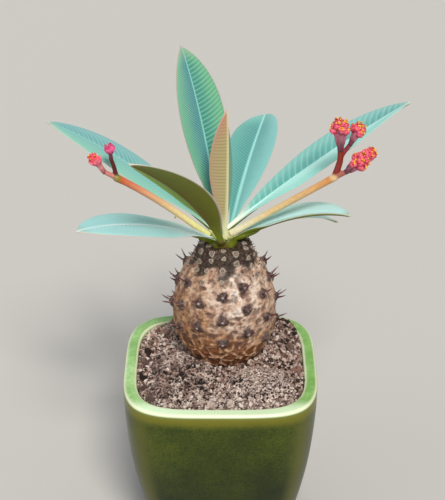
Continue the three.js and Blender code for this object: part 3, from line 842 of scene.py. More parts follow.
# Colours of the faces. Wax makes the upper side blue-green, and the lower side is bare.
# Pairs are for the first and the second half: colour beside the midrib, colour near the
# margin, and how clear the side veins are. Stripes is the darkness between the veins,
# ribWide is added to the half width of the midrib's band, edge is the width of the
# margin's, and tip is the colour that the leaf takes on from a share of its length.
leafLooks = {
    "striped": {"inner": ("#5c9da3", "#4b9a84"), "outer": ("#80c09a", "#74b98c"),
                "clear": (0.85, 0.6), "vein": "#a9dcc9", "between": "#417f88",
                "stripes": 0.75, "rib": "#8fd3c8", "ribWide": 0, "margin": "#b9988a",
                "stalk": "#a9cdb4", "stalkReach": 0.1, "tip": ("#96b69a", 0.9)},
    "blue": {"inner": ("#589c98", "#6aaea8"), "outer": ("#68aca0", "#84c2be"),
             "clear": (0.7, 0.55), "vein": "#93cfc6", "between": "#4a8c8e",
             "stripes": 0.75, "rib": "#a0dcd8", "ribWide": 0.3, "margin": "#b3c3b4",
             "stalk": "#b8dccb", "stalkReach": 0.06, "tip": ("#7fbdb4", 0.85)},
    "barred": {"inner": ("#64aca6", "#c4faf2"), "outer": ("#84c2ba", "#9ee2d6"),
               "clear": (0.55, 0.25), "vein": "#abdcd3", "between": "#579e98",
               "stripes": 0.35, "rib": "#c0f0e8", "ribWide": 0.08, "margin": "#a9d2c4",
               "stalk": "#e4ecda", "stalkReach": 0.12, "tip": ("#9fbdb1", 0.93)},
    "barredLeft": {"inner": ("#88cbc4", "#77b8b8"), "outer": ("#92cfbe", "#8cc5c6"),
                   "clear": (0.2, 0.75), "vein": "#b4dcd4", "between": "#5c9f9b",
                   "stripes": 0.25, "rib": "#a6d8d3", "ribWide": 0, "margin": "#b9cdb4",
                   "stalk": "#c5dcc6", "stalkReach": 0.08, "tip": ("#a3bfae", 0.94)},
    "silvery": {"inner": ("#aee4e6", "#a2dcde"), "outer": ("#a8dede", "#a8e0e0"),
                "clear": (0.15, 0.5), "vein": "#b4e2de", "between": "#74b3b0",
                "stripes": 0.4, "rib": "#dcf2f2", "ribWide": 0.4, "margin": "#d3c4b6",
                "stalk": "#e4fcff", "stalkReach": 0.3, "tip": ("#9cc4b4", 0.9)},
    "pale": {"inner": ("#c2ecec", "#bce8ea"), "outer": ("#c0e8e6", "#b6e0de"),
             "clear": (0.2, 0.2), "vein": "#bddfdc", "between": "#93c3c3",
             "stripes": 0.3, "rib": "#b9dedf", "ribWide": 0, "margin": "#c3cfae",
             "stalk": "#dfe8d6", "stalkReach": 0.14, "tip": ("#a6bfa6", 0.92)},
    "pink": {"inner": ("#6aa283", "#b3a873"), "outer": ("#62a48e", "#bca37c"),
             "clear": (0.3, 0.75), "vein": "#86623f", "between": "#c0ac80",
             "stripes": 0.35, "rib": "#e8dcae", "ribWide": 0.35, "margin": "#d3958c",
             "stalk": "#ecebbb", "stalkReach": 0.16, "tip": ("#c78f78", 0.72)},
    "olive": {"inner": ("#606600", "#728c00"), "outer": ("#707804", "#8cac04"),
              "clear": (0.1, 0.1), "vein": "#8a9624", "between": "#5c6a02",
              "stripes": 0.2, "rib": "#64561a", "ribWide": 0.6, "margin": "#dcd4c8",
              "stalk": "#748608", "stalkReach": 0.2, "tip": ("#7d7a3c", 0.93), "edge": 1.1},
}


def midline(leaf, steps):
    # Points along the midrib, their directions, and the level direction across it
    shares = np.arange(steps + 1) / steps

    def direction(share):
        rise = np.radians(np.interp(share ** 1.5, (0, 1), leaf["rise"]))
        turn = np.radians(leaf["heading"] + leaf["swing"] * share ** 1.5)
        along = np.stack([np.cos(turn) * np.cos(rise), np.sin(turn) * np.cos(rise),
                          np.sin(rise)], -1)
        return along, np.stack([-np.sin(turn), np.cos(turn), np.zeros_like(turn)], -1)

    halfway = direction(shares[:-1] + 0.5 / steps)[0] * leaf["length"] / steps
    start = np.array(crown["place"]) + np.array(leaf["seat"])
    points = start + np.concatenate([np.zeros((1, 3)), np.cumsum(halfway, axis=0)])
    along, side = direction(shares)
    return points, along, side, shares


def halfWidthAt(leaf, share):
    wide, blunt = blade["wide"], leaf.get("blunt", blade["blunt"])
    widest = wide / (wide + blunt)
    full = widest ** wide * (1 - widest) ** blunt
    outline = share ** wide * (1 - share) ** blunt / full
    half = leaf["width"] / 2 * np.hypot(outline, blade["stalk"] * (1 - share))
    return np.maximum(half, blade["tipHalfWidth"])


def veinPhase(leaf, s, u, fromRib):  # a whole number at each side vein
    phases = [(s * leaf["length"] - slope * fromRib - blade["veinCurve"] * fromRib ** 2) / spacing
              for spacing, slope in leaf["veins"]]
    return np.where(u >= 0, phases[0], phases[1] + 0.5)


def bladeRings(leaf):
    # Rings round the blade, across its upper face and back across its lower face, with the
    # place of each point: along, across, columns of the upper face, and its distances
    points, along, side, shares = midline(leaf, int(leaf["length"] / blade["station"]))
    roll = np.radians(np.interp(shares, (0, 1), leaf["roll"]))[:, None]
    up = np.cross(along, side)
    across = side * np.cos(roll) + up * np.sin(roll)
    normal = up * np.cos(roll) - side * np.sin(roll)
    half = halfWidthAt(leaf, shares)[:, None]
    outward = np.array(blade["columns"])
    top = np.concatenate([-outward[::-1], outward[1:]])
    u = np.concatenate([top, top[-2:0:-1]])[None, :]
    s = shares[:, None]
    fromRib, fromEdge = np.abs(u) * half, (1 - np.abs(u)) * half
    fold = np.radians(leaf["fold"] + leaf["trough"] * smoothStep(blade["troughReach"], 0.05, s))
    phase = veinPhase(leaf, s, u, fromRib)
    quilt = np.cos(2 * math.pi * phase) * (1 - bell(fromRib, 0.9))
    rise = (np.sqrt(u * u + 0.0016) - 0.04) * half * np.sin(fold)
    rise = rise + blade["camber"] * half * (np.abs(u) - u * u)
    rise = rise - blade["quilting"] * quilt * smoothStep(0, 2.5, fromEdge)
    rounded = np.sqrt(np.clip(1 - np.abs(u) ** 9, 0, 1))
    thick = blade["thickness"] / 2 * (1 - 0.35 * np.abs(u)) * rounded
    depth = blade["ribTip"] + blade["ribDepth"] * (1 - s) ** 1.5
    narrow, more = blade["ribWidth"]
    rib = depth * bell(fromRib, narrow + more * (1 - s))
    groove, grooveWidth = blade["channel"]
    channel = groove * (1 - s) * bell(fromRib, grooveWidth)
    upper = np.arange(u.shape[1]) < len(top)
    offset = rise + np.where(upper, thick - channel, -thick - rib)
    rings = (points[:, None] + across[:, None] * (u * half * np.cos(fold))[..., None]
             + normal[:, None] * offset[..., None])
    tip = points[-1] + along[-1] * 0.9 + (rings[-1] - points[-1]) * 0.2
    return np.concatenate([rings, tip[None]]), (s, u, len(top), phase, fromRib, fromEdge)


def leafShape(leaf):
    rings, (s, u, topCount, phase, fromRib, fromEdge) = bladeRings(leaf)
    fade = smoothStep(0.02, 0.14, s) * smoothStep(1.0, 0.9, s)
    marks = {
        "along": s, "phase": phase, "fromEdge": fromEdge,
        "fromRib": fromRib - (0.14 + 0.42 * (1 - s) ** 1.2),
        "half": (u < 0) * 1.0, "reach": np.abs(u), "clear": fade * (1 - 0.55 * u * u)}
    for name, values in marks.items():
        values = np.broadcast_to(values, phase.shape)
        marks[name] = np.concatenate([values, values[-1:]]).ravel()
    lower = np.where(np.arange(u.shape[1]) < topCount - 1, 0, 1)
    faceMaterials = np.append(np.tile(lower, len(rings) - 1), [1, 1])
    return ringsShape(rings), marks, faceMaterials


def leafBands(look, mark, outer, reach, toVein):
    # Bands of colour: what each follows, where it starts and is full, and its strength
    stalk = look["stalkReach"]
    return {
        "outer": (outer, reach, 0.35, 1.1, 1),
        "between": (look["between"], toVein, 0.1, 0.42, look["stripes"]),
        "vein": (look["vein"], toVein, 0.11, 0.02, 0.75),
        "tip": (look["tip"][0], mark["along"], look["tip"][1], 1, 0.85),
        "rib": (look["rib"], mark["fromRib"], 0.25 + 1.6 * look["ribWide"], -0.1, 0.9),
        "margin": (look["margin"], mark["fromEdge"], look.get("edge", 0.42), 0.1, 0.85),
        "stalk": (look["stalk"], mark["along"], 1.5 * stalk, 0.3 * stalk, 1)}


def leafSkin(name, look):
    # Living leaf under a film of wax: satin, with pale side veins a millimetre or two apart
    material, tree, mark = newMaterial(name, (
        "along", "reach", "half", "phase", "fromEdge", "fromRib", "clear"))
    place = addNode(tree, "TexCoord", {}, "Object")
    cloud = addNode(tree, "TexNoise", {  # uneven wax, patches 6 mm wide
        "Vector": place, "Scale": 1 / (6 * mm), "Detail": 5, "Roughness": 0.6})
    inner, outer = (addNode(tree, "Mix", {
        "Factor": mark["half"], "A": look[part][0], "B": look[part][1]})
        for part in ("inner", "outer"))
    reach, waver = (addNode(tree, "Math", {
        "operation": "MULTIPLY_ADD", "Value": cloud, "Value_001": share, "Value_002": mark[part]})
        for share, part in ((0.5, "reach"), (0.35, "phase")))
    toVein = addNode(tree, "Math", {"operation": "PINGPONG", "Value": waver, "Value_001": 0.5})
    clearness = addNode(tree, "MapRange", {
        "Value": mark["half"], "To Min": look["clear"][0], "To Max": look["clear"][1]})
    clear = addNode(tree, "Math", {
        "operation": "MULTIPLY", "Value": mark["clear"], "Value_001": clearness})
    colour, shares = inner, {}
    for part, (over, value, start, full, most) in leafBands(
            look, mark, outer, reach, toVein).items():
        shares[part] = addNode(tree, "MapRange", {
            "interpolation_type": "SMOOTHSTEP", "Value": value, "From Min": start,
            "From Max": full, "To Max": most})
        if value == toVein:
            shares[part] = addNode(tree, "Math", {
                "operation": "MULTIPLY", "Value": shares[part], "Value_001": clear})
        colour = addNode(tree, "Mix", {"Factor": shares[part], "A": colour, "B": over})
    fine = addNode(tree, "TexNoise", {"Vector": place, "Scale": 1 / (0.5 * mm), "Detail": 2})
    relief = addNode(tree, "Math", {"operation": "MULTIPLY_ADD", "Value": fine,
                                    "Value_001": 0.3, "Value_002": shares["vein"]})
    bump = addNode(tree, "Bump", {"Strength": 0.4, "Distance": 0.12 * mm, "Height": relief})
    return finished(material, {"Base Color": colour, "Normal": bump, "Roughness": 0.46,
                               "IOR": 1.42, "Sheen Weight": 0.03})


def addLeaves():
    skins = {look: leafSkin("waxyLeaf-" + look, colours) for look, colours in leafLooks.items()}
    for name, leaf in leaves.items():
        shape, marks, faceMaterials = leafShape(leaf)
        faces = [skins[leaf["upper"]], skins[leaf.get("lower", "olive")]]
        addPiece(name + "-blade", shape, faces, name, leaf.get("slot", "leaf_blue_green"),
                 marks, faceMaterials)


# Flower stalks

# Each branch: its radius and the points that it goes through from the fork
stalks = {
    "flower_stalk_left": {
        "seat": (-5.8, 0.6, 2.7), "heading": 193.7, "swing": 0, "rise": (43.5, 32.6),
        "length": 47.6,
        "branches": [(0.95, [(-45.6, 1.7, 163)]), (0.85, [(-41.8, 2.3, 165), (-42.7, 2.3, 168)])],
        "colours": ("#f0f2a4", "#f0d49c", "#e39b76", "#d0562e"),
        "scale": 0.38,  # where a withered scale leaf hangs, as a share of the length
        "ring": "#7f8f34", "branchColours": ("#cf8078", "#5c1a1e")},
    "flower_stalk_right": {
        "seat": (3.4, -1.3, 4.6), "heading": -12.8, "swing": 0, "rise": (35.4, 35.5),
        "length": 50.9,
        "branches": [(1.2, [(46.6, -0.4, 168.5), (46.7, -0.3, 173.2)]),
                     (0.9, [(46.8, -0.2, 169.8), (50.4, 0.7, 175.2)]),
                     (1.05, [(49.2, -1.6, 164.6)])],
        "colours": ("#f2efca", "#e8cc96", "#e2b67c", "#dc9450"),
        "ring": "#f1d8a6", "branchColours": ("#8c3022", "#8f3440", "#b06a5c")},
}
stalkForm = {
    "radius": 1.4,
    "forkRadius": 1.6,
    "forkSwell": (0.12, 1.5),  # share of the radius, and how many steps it fades over
    "footSwell": (0.15, 3),
    "steps": 30,
    "voxel": 0.3,
}


def smoothPath(points, steps):
    return [splinePoint(points, share) for share in np.linspace(0, 1, steps)]


def stalkLine(stalk):
    return midline(stalk, stalkForm["steps"])[0]


def scalePlace(stalk):
    return stalkLine(stalk)[round(stalkForm["steps"] * stalk["scale"])]


def budScale(place):  # a small pointed scale leaf, still green
    hang = np.array((-0.5, -0.5, -1.0))
    path = [place + reach * hang for reach in (0, 1.1, 1.5, 2.1)]
    return tubeShape(path, [0.6, 0.55, 0.35, 0.07], 12)


def stalkShape(stalk):
    stem = stalkLine(stalk)
    fork, steps = stem[-1], np.arange(len(stem))
    (atFork, forkSpread), (atFoot, footSpread) = stalkForm["forkSwell"], stalkForm["footSwell"]
    swell = 1 + atFork * bell(steps - steps[-1], forkSpread) + atFoot * bell(steps, footSpread)
    ball, faces = roundedShape(3)
    tubes = [tubeShape(stem, stalkForm["radius"] * swell, 20),
             (ball * stalkForm["forkRadius"] + fork, faces)]
    for radius, path in stalk["branches"]:
        count = 6 * len(path) + 1
        flare = 1 + 0.2 * np.linspace(1, 0, count) ** 2
        tubes.append(tubeShape(smoothPath([fork, *path], count), radius * flare, 16))
    grown = afterModifiers(joinedShape(tubes), [
        ("REMESH", {"mode": "VOXEL", "voxel_size": stalkForm["voxel"]}),
        ("SMOOTH", {"factor": 0.5, "iterations": 3})])
    if "scale" not in stalk:
        return grown
    return joinedShape([grown, budScale(scalePlace(stalk))])


def stalkSkin(name, stalk):
    # Smooth living stem with a soft shine, from cream at the leaves to red at the fork
    material, tree, mark = newMaterial(name, ("grown", "branch", "forked", "ring"))
    place = addNode(tree, "TexCoord", {}, "Object")
    fine = addNode(tree, "TexNoise", {  # mottling a millimetre and a half wide
        "Vector": place, "Scale": 1 / (1.5 * mm), "Detail": 4, "Roughness": 0.65})
    shade = addNode(tree, "MapRange", {"Value": fine, "From Min": 0.35, "From Max": 0.65,
                                       "To Min": 0.2, "To Max": 0})
    stem, branch = (addNode(tree, "ValToRGB", {
        "Fac": mark[part], "stops": list(zip(places, stalk[colours]))})
        for part, places, colours in (
            ("grown", (0.08, 0.4, 0.75, 1), "colours"),
            ("branch", np.linspace(0, 1, len(stalk["branchColours"])), "branchColours")))
    colour = stem
    for blend, share, over in (("MIX", mark["forked"], branch),
                               ("MIX", mark["ring"], stalk["ring"]),
                               ("MULTIPLY", shade, "#a86a50")):
        colour = addNode(tree, "Mix", {"blend_type": blend, "Factor": share, "A": colour,
                                       "B": over})
    bump = addNode(tree, "Bump", {"Strength": 0.2, "Distance": 0.1 * mm, "Height": fine})
    return finished(material, {"Base Color": colour, "Normal": bump, "Roughness": 0.4,
                               "IOR": 1.42})


def nearestBranch(stalk, points, fork):  # 0 for the first branch up to 1 for the last
    distances = []
    for _, path in stalk["branches"]:
        line = np.array(smoothPath([fork, *path], 13))
        distances.append(np.linalg.norm(points[:, None] - line[None, 3:], axis=2).min(1))
    return np.argmin(distances, axis=0) / (len(distances) - 1)


def scaleMark(stalk, points, travelled):  # 1 on the scale leaf that hangs under the stalk
    place = scalePlace(stalk)
    away = np.linalg.norm(points - place, axis=1)
    below = (away < 3.2) & (np.abs(travelled) < 1.5) & (points[:, 2] < place[2] - 1.2)
    return smoothStep(1.5, 1.9, away) * below


def addStalks():
    for name, stalk in stalks.items():
        points, faces = stalkShape(stalk)
        foot, fork = stalkLine(stalk)[[0, -1]]
        length = np.linalg.norm(fork - foot)
        travelled = (points - foot) @ unit(fork - foot)
        toFork = np.linalg.norm(points - fork, axis=1)
        ring = smoothStep(2.5, 1.2, toFork)
        if "scale" in stalk:
            along = travelled - length * stalk["scale"]
            ring = np.maximum(ring, scaleMark(stalk, points, along))
        marks = {"grown": np.clip(travelled / length, 0, 1),
                 "branch": nearestBranch(stalk, points, fork),
                 "forked": smoothStep(0.6, 1.8, toFork) * (travelled > length),
                 "ring": 0.9 * ring}
        skin = stalkSkin(name.replace("flower_stalk_", "stalkSkin-"), stalk)
        addPiece(name + "-stem", (points, faces), [skin], name, "flower_stalk", marks)


# Flower heads

# Each head: where it meets its stalk, its far end, width, share taken by its funnel and
# the funnel's radius at its foot, how many cup flowers it has, their radius and length,
# the height of their lobes, stamens in each, and its looks
heads = {
    "flower_head_left": {
        "base": (-45.6, 1.7, 163), "tip": (-50.9, 1, 171.4), "width": 6, "funnel": 0.36,
        "neck": 0.95, "cups": 5, "radius": 1.35, "length": 4.6, "lobes": 0.2, "stamens": 2,
        "look": "red"},
    "flower_bud_left": {
        "base": (-42.7, 2.3, 168), "tip": (-43.4, 2.3, 175.6), "width": 5.2, "funnel": 0.28,
        "neck": 0.8, "cups": 3, "radius": 1.6, "length": 4.9, "lobes": 0.3, "stamens": 0,
        "look": "magenta"},
    "flower_head_inner": {
        "base": (46.7, -0.3, 173.2), "tip": (45.9, -0.3, 187.4), "width": 8.8, "funnel": 0.45,
        "neck": 1.2, "cups": 10, "radius": 1.4, "length": 3.6, "lobes": 0.13, "stamens": 6,
        "look": "rose"},
    "flower_head_middle": {
        "base": (50.4, 0.7, 175.2), "tip": (55.0, 2, 183.9), "width": 7.4, "funnel": 0.42,
        "neck": 0.9, "cups": 7, "radius": 1.35, "length": 3.5, "lobes": 0.13, "stamens": 6,
        "look": "rose"},
    "flower_head_outer": {
        "base": (49.2, -1.6, 164.6), "tip": (60.4, -3.4, 175.3), "width": 8.4, "funnel": 0.2,
        "neck": 1.05, "cups": 17, "radius": 1.4, "length": 3.7, "lobes": 0.13, "stamens": 6,
        "look": "rose"},
}
headForm = {
    "lift": 0.6,  # the funnel starts this far above the stalk's end
    "turn": 137.5,  # from one cup to the next, in degrees
    "turnOff": (-12, 12),  # and how far off that it may be
    "sizes": (0.88, 1.1),  # least and most size of a cup, as a share of its head's own
    "cupStem": (0.5, 0.75),  # radius at its foot and under its cup
    # outline of a cup, as shares of its radius and length, ending in the dimple on its top
    "cup": [(0.3, 0), (0.5, 0.1), (0.8, 0.3), (0.98, 0.52), (1.0, 0.68), (0.92, 0.84),
            (0.76, 0.98), (0.5, 0.86), (0.2, 0.78)],
    "lobes": 5,
    "threads": (0.3, 0.9),  # least and most length of a stamen
    "threadRadius": 0.11,
    "sacs": (0.22, 0.4),  # least and most half size of a pollen sac
    "sacsApart": 0.19,  # from the thread to the middle of each
    "seed": 23,
}

# Colours from the foot of a cup to its rim, with painted shade at the foot and a painted highlight on
# the bulge, and from the foot of the stems to the cups
cupLooks = {
    "red": {"cup": ("#a83858", "#e85a78", "#fa7f92", "#e84a5e"),
            "stem": ("#8f3f48", "#b86c6c", "#cf8f86", "#c06a70")},
    "rose": {"cup": ("#962846", "#de3c5c", "#fb7a96", "#cf304c"),
             "stem": ("#5c2433", "#7d3d4c", "#a86878", "#b4657a")},
    "magenta": {"cup": ("#6a1c3a", "#d03a78", "#f676aa", "#c83c70"),
                "stem": ("#4c161c", "#5f1f2c", "#742a42", "#8a3054")},
}
pollenColours = {"pollenSac": ("#9a5218", "#f2a730", "#fbd860"),
                 "stamenThread": ("#c9353f", "#e0603c", "#e88c3a")}


def cupShape(foot, direction, radius, length, lobes, spin):
    # A five-lobed cup, fullest above its middle, closed by a dimpled disc of glands
    turns = fullTurn(30)
    around = roundFrom(*crossways(direction, (0.2, 0.9, 0.4)), turns)
    wave = 2 * (0.5 + 0.5 * np.cos(headForm["lobes"] * turns + spin)) ** 1.4 - 1
    rings = []
    for share, height in headForm["cup"]:
        reach = radius * share * (1 + 0.16 * wave * height)
        level = length * (height * (1 - lobes) + lobes * wave * (height > 0.8) * share)
        rings.append(foot + np.outer(level, direction) + reach[:, None] * around)
    return ringsShape(rings)


def bractShape(foot, direction, radius, length, turn):  # a cupped scale that hugs its flower
    side, up = crossways(direction, (0.2, 0.9, 0.4))
    rings = []
    for height in np.linspace(0.02, 0.8, 8):
        reach = radius * (0.42 + 0.85 * math.sin(math.pi * min(height / 1.15, 1)) ** 0.8)
        spread = 0.95 * math.sqrt(max(1 - (height / 0.82) ** 2, 0.002))
        outer = reach * roundFrom(side, up, turn + spread * np.linspace(-1, 1, 6))
        inner = outer[::-1] * (1 - 0.22 / reach)
        rings.append(foot + direction * length * height + np.concatenate([outer, inner]))
    return ringsShape(rings)


def stamenShapes(rim, direction, radius, count, chance):
    # Short threads from the mouth of a cup, each with a pair of pollen sacs
    threads, sacs = [], []
    ball, faces = roundedShape(2)
    for _ in range(count):
        lean = np.array([chance.uniform(-1, 1) for _ in range(3)])
        reach = unit(direction + 0.6 * lean)
        length = chance.uniform(*headForm["threads"])
        root = rim - direction * 0.6 + 0.45 * radius * lean
        path = [root, root + reach * length / 2, root + reach * length]
        threads.append(tubeShape(path, headForm["threadRadius"], 5))
        apart = unit(np.cross(reach, lean + 0.1)) * headForm["sacsApart"]
        for offset in (apart, -apart):
            size = np.array([chance.uniform(*headForm["sacs"]) for _ in range(3)])
            sacs.append((ball * size + root + reach * (length + 0.12) + offset, faces))
    return threads, sacs


def headAxis(head):  # its foot, the direction to its tip and its length over the lift
    base, tip = np.array(head["base"], float), np.array(head["tip"], float)
    return base, unit(tip - base), np.linalg.norm(tip - base) - headForm["lift"]


def widestReach(head):  # from the axis to the middle of the outermost cups
    return max(head["width"] / 2 - 1.3 * head["radius"], 0.35 * head["radius"])


def funnelShape(head):
    base, axis, length = headAxis(head)
    shares = np.linspace(0, 1, 9)
    reach = head["funnel"] * length + headForm["lift"] + 1.2
    radii = head["neck"] * (0.98 + 0.1 * np.sin(7 * shares)) + 0.4 * widestReach(head) * shares ** 2
    return tubeShape(base - axis * 0.5 + np.outer(shares * reach, axis), radii, 20)


def cupPlaces(head, chance):
    # Cups packed over a dome: foot, direction, radius, length, and the path of its stem
    base, axis, length = headAxis(head)
    side, up = crossways(axis, (0.1, 0.95, 0.3))
    foot = base + axis * headForm["lift"]
    funnel = head["funnel"] * length
    top = length - 0.5 * head["length"] - 0.3
    for i in range(head["cups"]):
        outward = math.sqrt((i + 0.5) / head["cups"])
        turn = math.radians(headForm["turn"] * i + chance.uniform(*headForm["turnOff"]))
        radial = math.cos(turn) * side + math.sin(turn) * up
        reach = outward * widestReach(head)
        middle = top + (funnel + 0.35 * head["length"] - top) * outward ** 2
        lean = unit(axis + radial * 0.45 * outward)
        size = chance.uniform(*headForm["sizes"])
        radius, cupLength = head["radius"] * size, head["length"] * size
        root = foot + axis * middle + radial * reach - lean * cupLength / 2
        bend = foot + axis * 0.4 * funnel + radial * 0.5 * reach
        yield root, lean, radius, cupLength, [base, bend, root + lean * 0.5]


def headShapes(head, chance):
    # Each cup on its own stem, the stems gathered in a funnel. The parts are in the order
    # of the materials of the head.
    parts = {"cups": [], "stems": [funnelShape(head)], "threads": [], "sacs": []}
    for root, lean, radius, length, path in cupPlaces(head, chance):
        parts["stems"].append(tubeShape(smoothPath(path, 9), np.linspace(*headForm["cupStem"], 9), 12))
        spin = chance.uniform(0, 6)
        parts["cups"].append(cupShape(root, lean, radius, length, head["lobes"], spin))
        parts["cups"] += [bractShape(root, lean, radius, length, turn)
                          for turn in (spin, spin + math.pi)]
        rim = root + lean * length * (1 - head["lobes"])
        threads, sacs = stamenShapes(rim, lean, radius, head["stamens"], chance)
        parts["threads"] += threads
        parts["sacs"] += sacs
    return parts


def petalSkin(name, colours):
    # Fleshy cup of a spurge flower: satin, with painted shade darkening the foot and a painted
    # highlight paling it where it bulges
    material, tree, mark = newMaterial(name, ("grown",))
    place = addNode(tree, "TexCoord", {}, "Object")
    fine = addNode(tree, "TexNoise", {"Vector": place, "Scale": 1 / (1.2 * mm), "Detail": 4})
    uneven = addNode(tree, "Math", {"operation": "MULTIPLY_ADD", "Value": fine,
                                    "Value_001": 0.4, "Value_002": mark["grown"]})
    # painted shade at the foot of a cup and a painted highlight on its bulge
    colour = addNode(tree, "ValToRGB", {
        "Fac": uneven, "stops": list(zip((0.25, 0.55, 0.85, 1), colours))})
    bump = addNode(tree, "Bump", {"Strength": 0.25, "Distance": 0.1 * mm, "Height": fine})
    return finished(material, {"Base Color": colour, "Normal": bump, "Roughness": 0.42,
                               "IOR": 1.42, "Sheen Weight": 0.15})


def pollenSkin(name):  # dusty pollen sacs and their threads
    material, tree, mark = newMaterial(name, ("tone",))
    colour = addNode(tree, "ValToRGB", {
        "Fac": mark["tone"], "stops": list(zip((0, 0.5, 1), pollenColours[name]))})
    return finished(material, {"Base Color": colour, "Roughness": 0.65, "IOR": 1.45})


def addHeads():
    chance = random.Random(headForm["seed"])
    sacSkin, threadSkin = (pollenSkin(name) for name in ("pollenSac", "stamenThread"))
    skins = {look: [petalSkin("flower-" + part + "-" + look, colours[part])
                    for part in ("cup", "stem")] for look, colours in cupLooks.items()}
    for name, head in heads.items():
        axis = unit(np.subtract(head["tip"], head["base"]))
        shapes, marks, faceMaterials = [], [], []
        for index, group in enumerate(headShapes(head, chance).values()):
            for number, (points, faces) in enumerate(group):
                span = (points - points.mean(0)) @ axis
                shapes.append((points, faces))
                marks.append({"grown": (span - span.min()) / max(np.ptp(span), 1e-6),
                              "tone": number * 0.618 % 1})
                faceMaterials += [index] * len(faces)
        addPiece(name + "-cluster", joinedShape(shapes),
                 [*skins[head["look"]], threadSkin, sacSkin], name, "flower",
                 joinedMarks(shapes, marks), faceMaterials)


# Grit and lava stones

ground = {
    "edge": 74.9,  # height of the grit along the wall
    "mound": (4.4, 22),  # rise and spread round the stem
    "heap": (28, 26, 4, 9),  # place, rise and spread of the heap in the far corner
    "ripple": (0.4, 7),
    "gap": 0.25,
    "levels": (30, 52),  # heights of two rings of the bed inside the pot
    "collar": 79.5,  # height where the grit meets the stem
    "hole": (76, 58),  # heights between which the stem's hole is lined
    "field": 35,  # half width of the square that the loose grains are strewn over
    "columns": 250,
    "rings": 62,
    "hollow": 5.2,  # how deep the stones press into the bed
    "crumb": (1.3, 0.55),  # size and height of the crumbs that the bed is made of
    "grains": ((1150, 0.45, 1.1, 2), (2300, 0.28, 0.6, 1)),  # count, least and most radius, detail
    "paleStrip": -22,  # in front of this line the crumbs are paler
    "warmFrom": (-28, -18),  # behind these lines they are warmer in tone
    "tone": (0.37, 0.25),  # of the crumbs, on average and its spread
    "lightest": 0.66,
    "seeds": (41, 43),  # of the crumbs and of their warmth
    # single pebbles that stand out of the grit: place across the bed, radius and tone
    "pebbles": [
        (-30.6, 6, 2.2, 0.04), (-32, 0, 1.6, 0.2), (-31.9, -11.6, 1.8, 0), (-31, -18.5, 1.6, 0.12),
        (-28.4, -26.7, 1.9, 0.15), (-4, -31.5, 1.5, 0.45), (4, -31, 1.4, 0.48),
        (31.5, -6, 1.5, 0.3), (29.5, 10, 1.9, 0.2), (-24, 24, 1.8, 0.3), (-12, 31, 1.5, 0.05)],
}

# Each stone: centre, half sizes, turn, seed, where bubbles are large and where it is pale
stones = {
    "lava_stone_left": {"centre": (-15.5, -10, 75), "half": (15, 18, 4.2), "turn": -8, "seed": 3,
                        "patches": 0.05, "pale": -0.05},
    "lava_stone_right": {"centre": (16.5, -17, 75), "half": (15, 11.5, 4.2), "turn": -10,
                         "seed": 8, "patches": -0.25, "pale": 0.7},
}

stoneForm = {
    # gas bubbles of three sizes: spacing, hole radius over spacing, depth
    "bubbles": ((3.2, 0.46, 1.3), (1.9, 0.5, 0.95), (1.15, 0.48, 0.55)),
    "lump": (0.9, 6.5),  # rise and size of the lumps
    "grain": (0.5, 1.8),  # and of the finer ones on them
    "bend": (0.35, 1.4),  # shift and size of the waver in the outlines of the bubbles
    "patch": 7,  # size of the patches where bubbles are large
    "palePatch": 5,
}


def gritTop(x, y):
    rise, spread = ground["mound"]
    stemX, stemY, _ = caudex["place"]
    height = ground["edge"] + rise * bell(np.hypot(x - stemX, y - stemY), spread)
    heapX, heapY, rise, spread = ground["heap"]
    height = height + rise * bell(np.hypot(x - heapX, y - heapY), spread)
    rise, length = ground["ripple"]
    return height + rise * np.sin(x / length) * np.cos(y / length)


def turned(points, stone):
    return points @ np.array(Matrix.Rotation(math.radians(stone["turn"]), 3, "Z")).T


def roughStone(directions, stone):  # the boulder's skin in these directions
    x, y = directions[:, :2].T
    seed = stone["seed"]
    rough = (1 + 0.07 * np.sin(3.1 * x + seed) + 0.07 * np.sin(3.7 * y + 2 * seed)
             + 0.05 * np.sin(5.3 * (x + y) + 3 * seed))
    skin = directions * np.array(stone["half"]) * rough[:, None]
    return turned(skin, stone) + np.array(stone["centre"])


def insideStone(x, y, stone, margin):  # below one inside the boulder's outline
    turn = math.radians(-stone["turn"])
    dx, dy = x - stone["centre"][0], y - stone["centre"][1]
    u = (dx * math.cos(turn) - dy * math.sin(turn)) / (stone["half"][0] + margin)
    v = (dx * math.sin(turn) + dy * math.cos(turn)) / (stone["half"][1] + margin)
    return np.hypot(u, v)


def bubbleHoles(points, size, radius, shift):  # 1 in the middle of a round hole, 0 outside
    near = scatterDistances(points, size, shift)[:, 0]
    return np.sqrt(np.clip(1 - (near / radius) ** 2, 0, 1))


def clearOfStem(points):  # points inside the stem moved out to its skin
    middle = np.array(caudex["place"][:2])
    away = points[:, :2] - middle
    apart = np.linalg.norm(away, axis=1)
    room = np.maximum(apart, stemRadius(points[:, 2]) + 0.3)
    return np.column_stack([middle + away * (room / apart)[:, None], points[:, 2]])


def lavaShape(stone):
    directions, faces = roundedShape(7)
    points, seed = roughStone(directions, stone), stone["seed"]
    outward = turned(unit(directions / np.array(stone["half"])), stone)
    shift, waver = stoneForm["bend"]
    bent = points + shift * hashNoise(points, waver, seed)[:, None]
    coarse = smoothStep(-0.2, 0.2, hashNoise(points, stoneForm["patch"], seed) + stone["patches"])
    (lump, lumpSize), (grain, grainSize) = stoneForm["lump"], stoneForm["grain"]
    relief = lump * hashNoise(points, lumpSize, seed) + grain * hashNoise(points, grainSize, 4)
    pit = np.zeros(len(points))
    shares = (coarse, 0.3 + 0.7 * coarse, 1)
    for (size, radius, depth), share in zip(stoneForm["bubbles"], shares):
        holes = bubbleHoles(bent, size, radius, seed + size)
        relief = relief - depth * holes * share
        # painted shade: darkest deep in each bubble hole
        pit = np.maximum(pit, smoothStep(0.1, 0.75, holes) * share)
    points = clearOfStem(points + outward * (relief + 0.4)[:, None])
    patches = hashNoise(points, stoneForm["palePatch"], seed + 9)
    bleached = smoothStep(-0.2, 0.2, patches + stone["pale"])
    return (points, faces), {"pit": pit, "bleached": bleached}


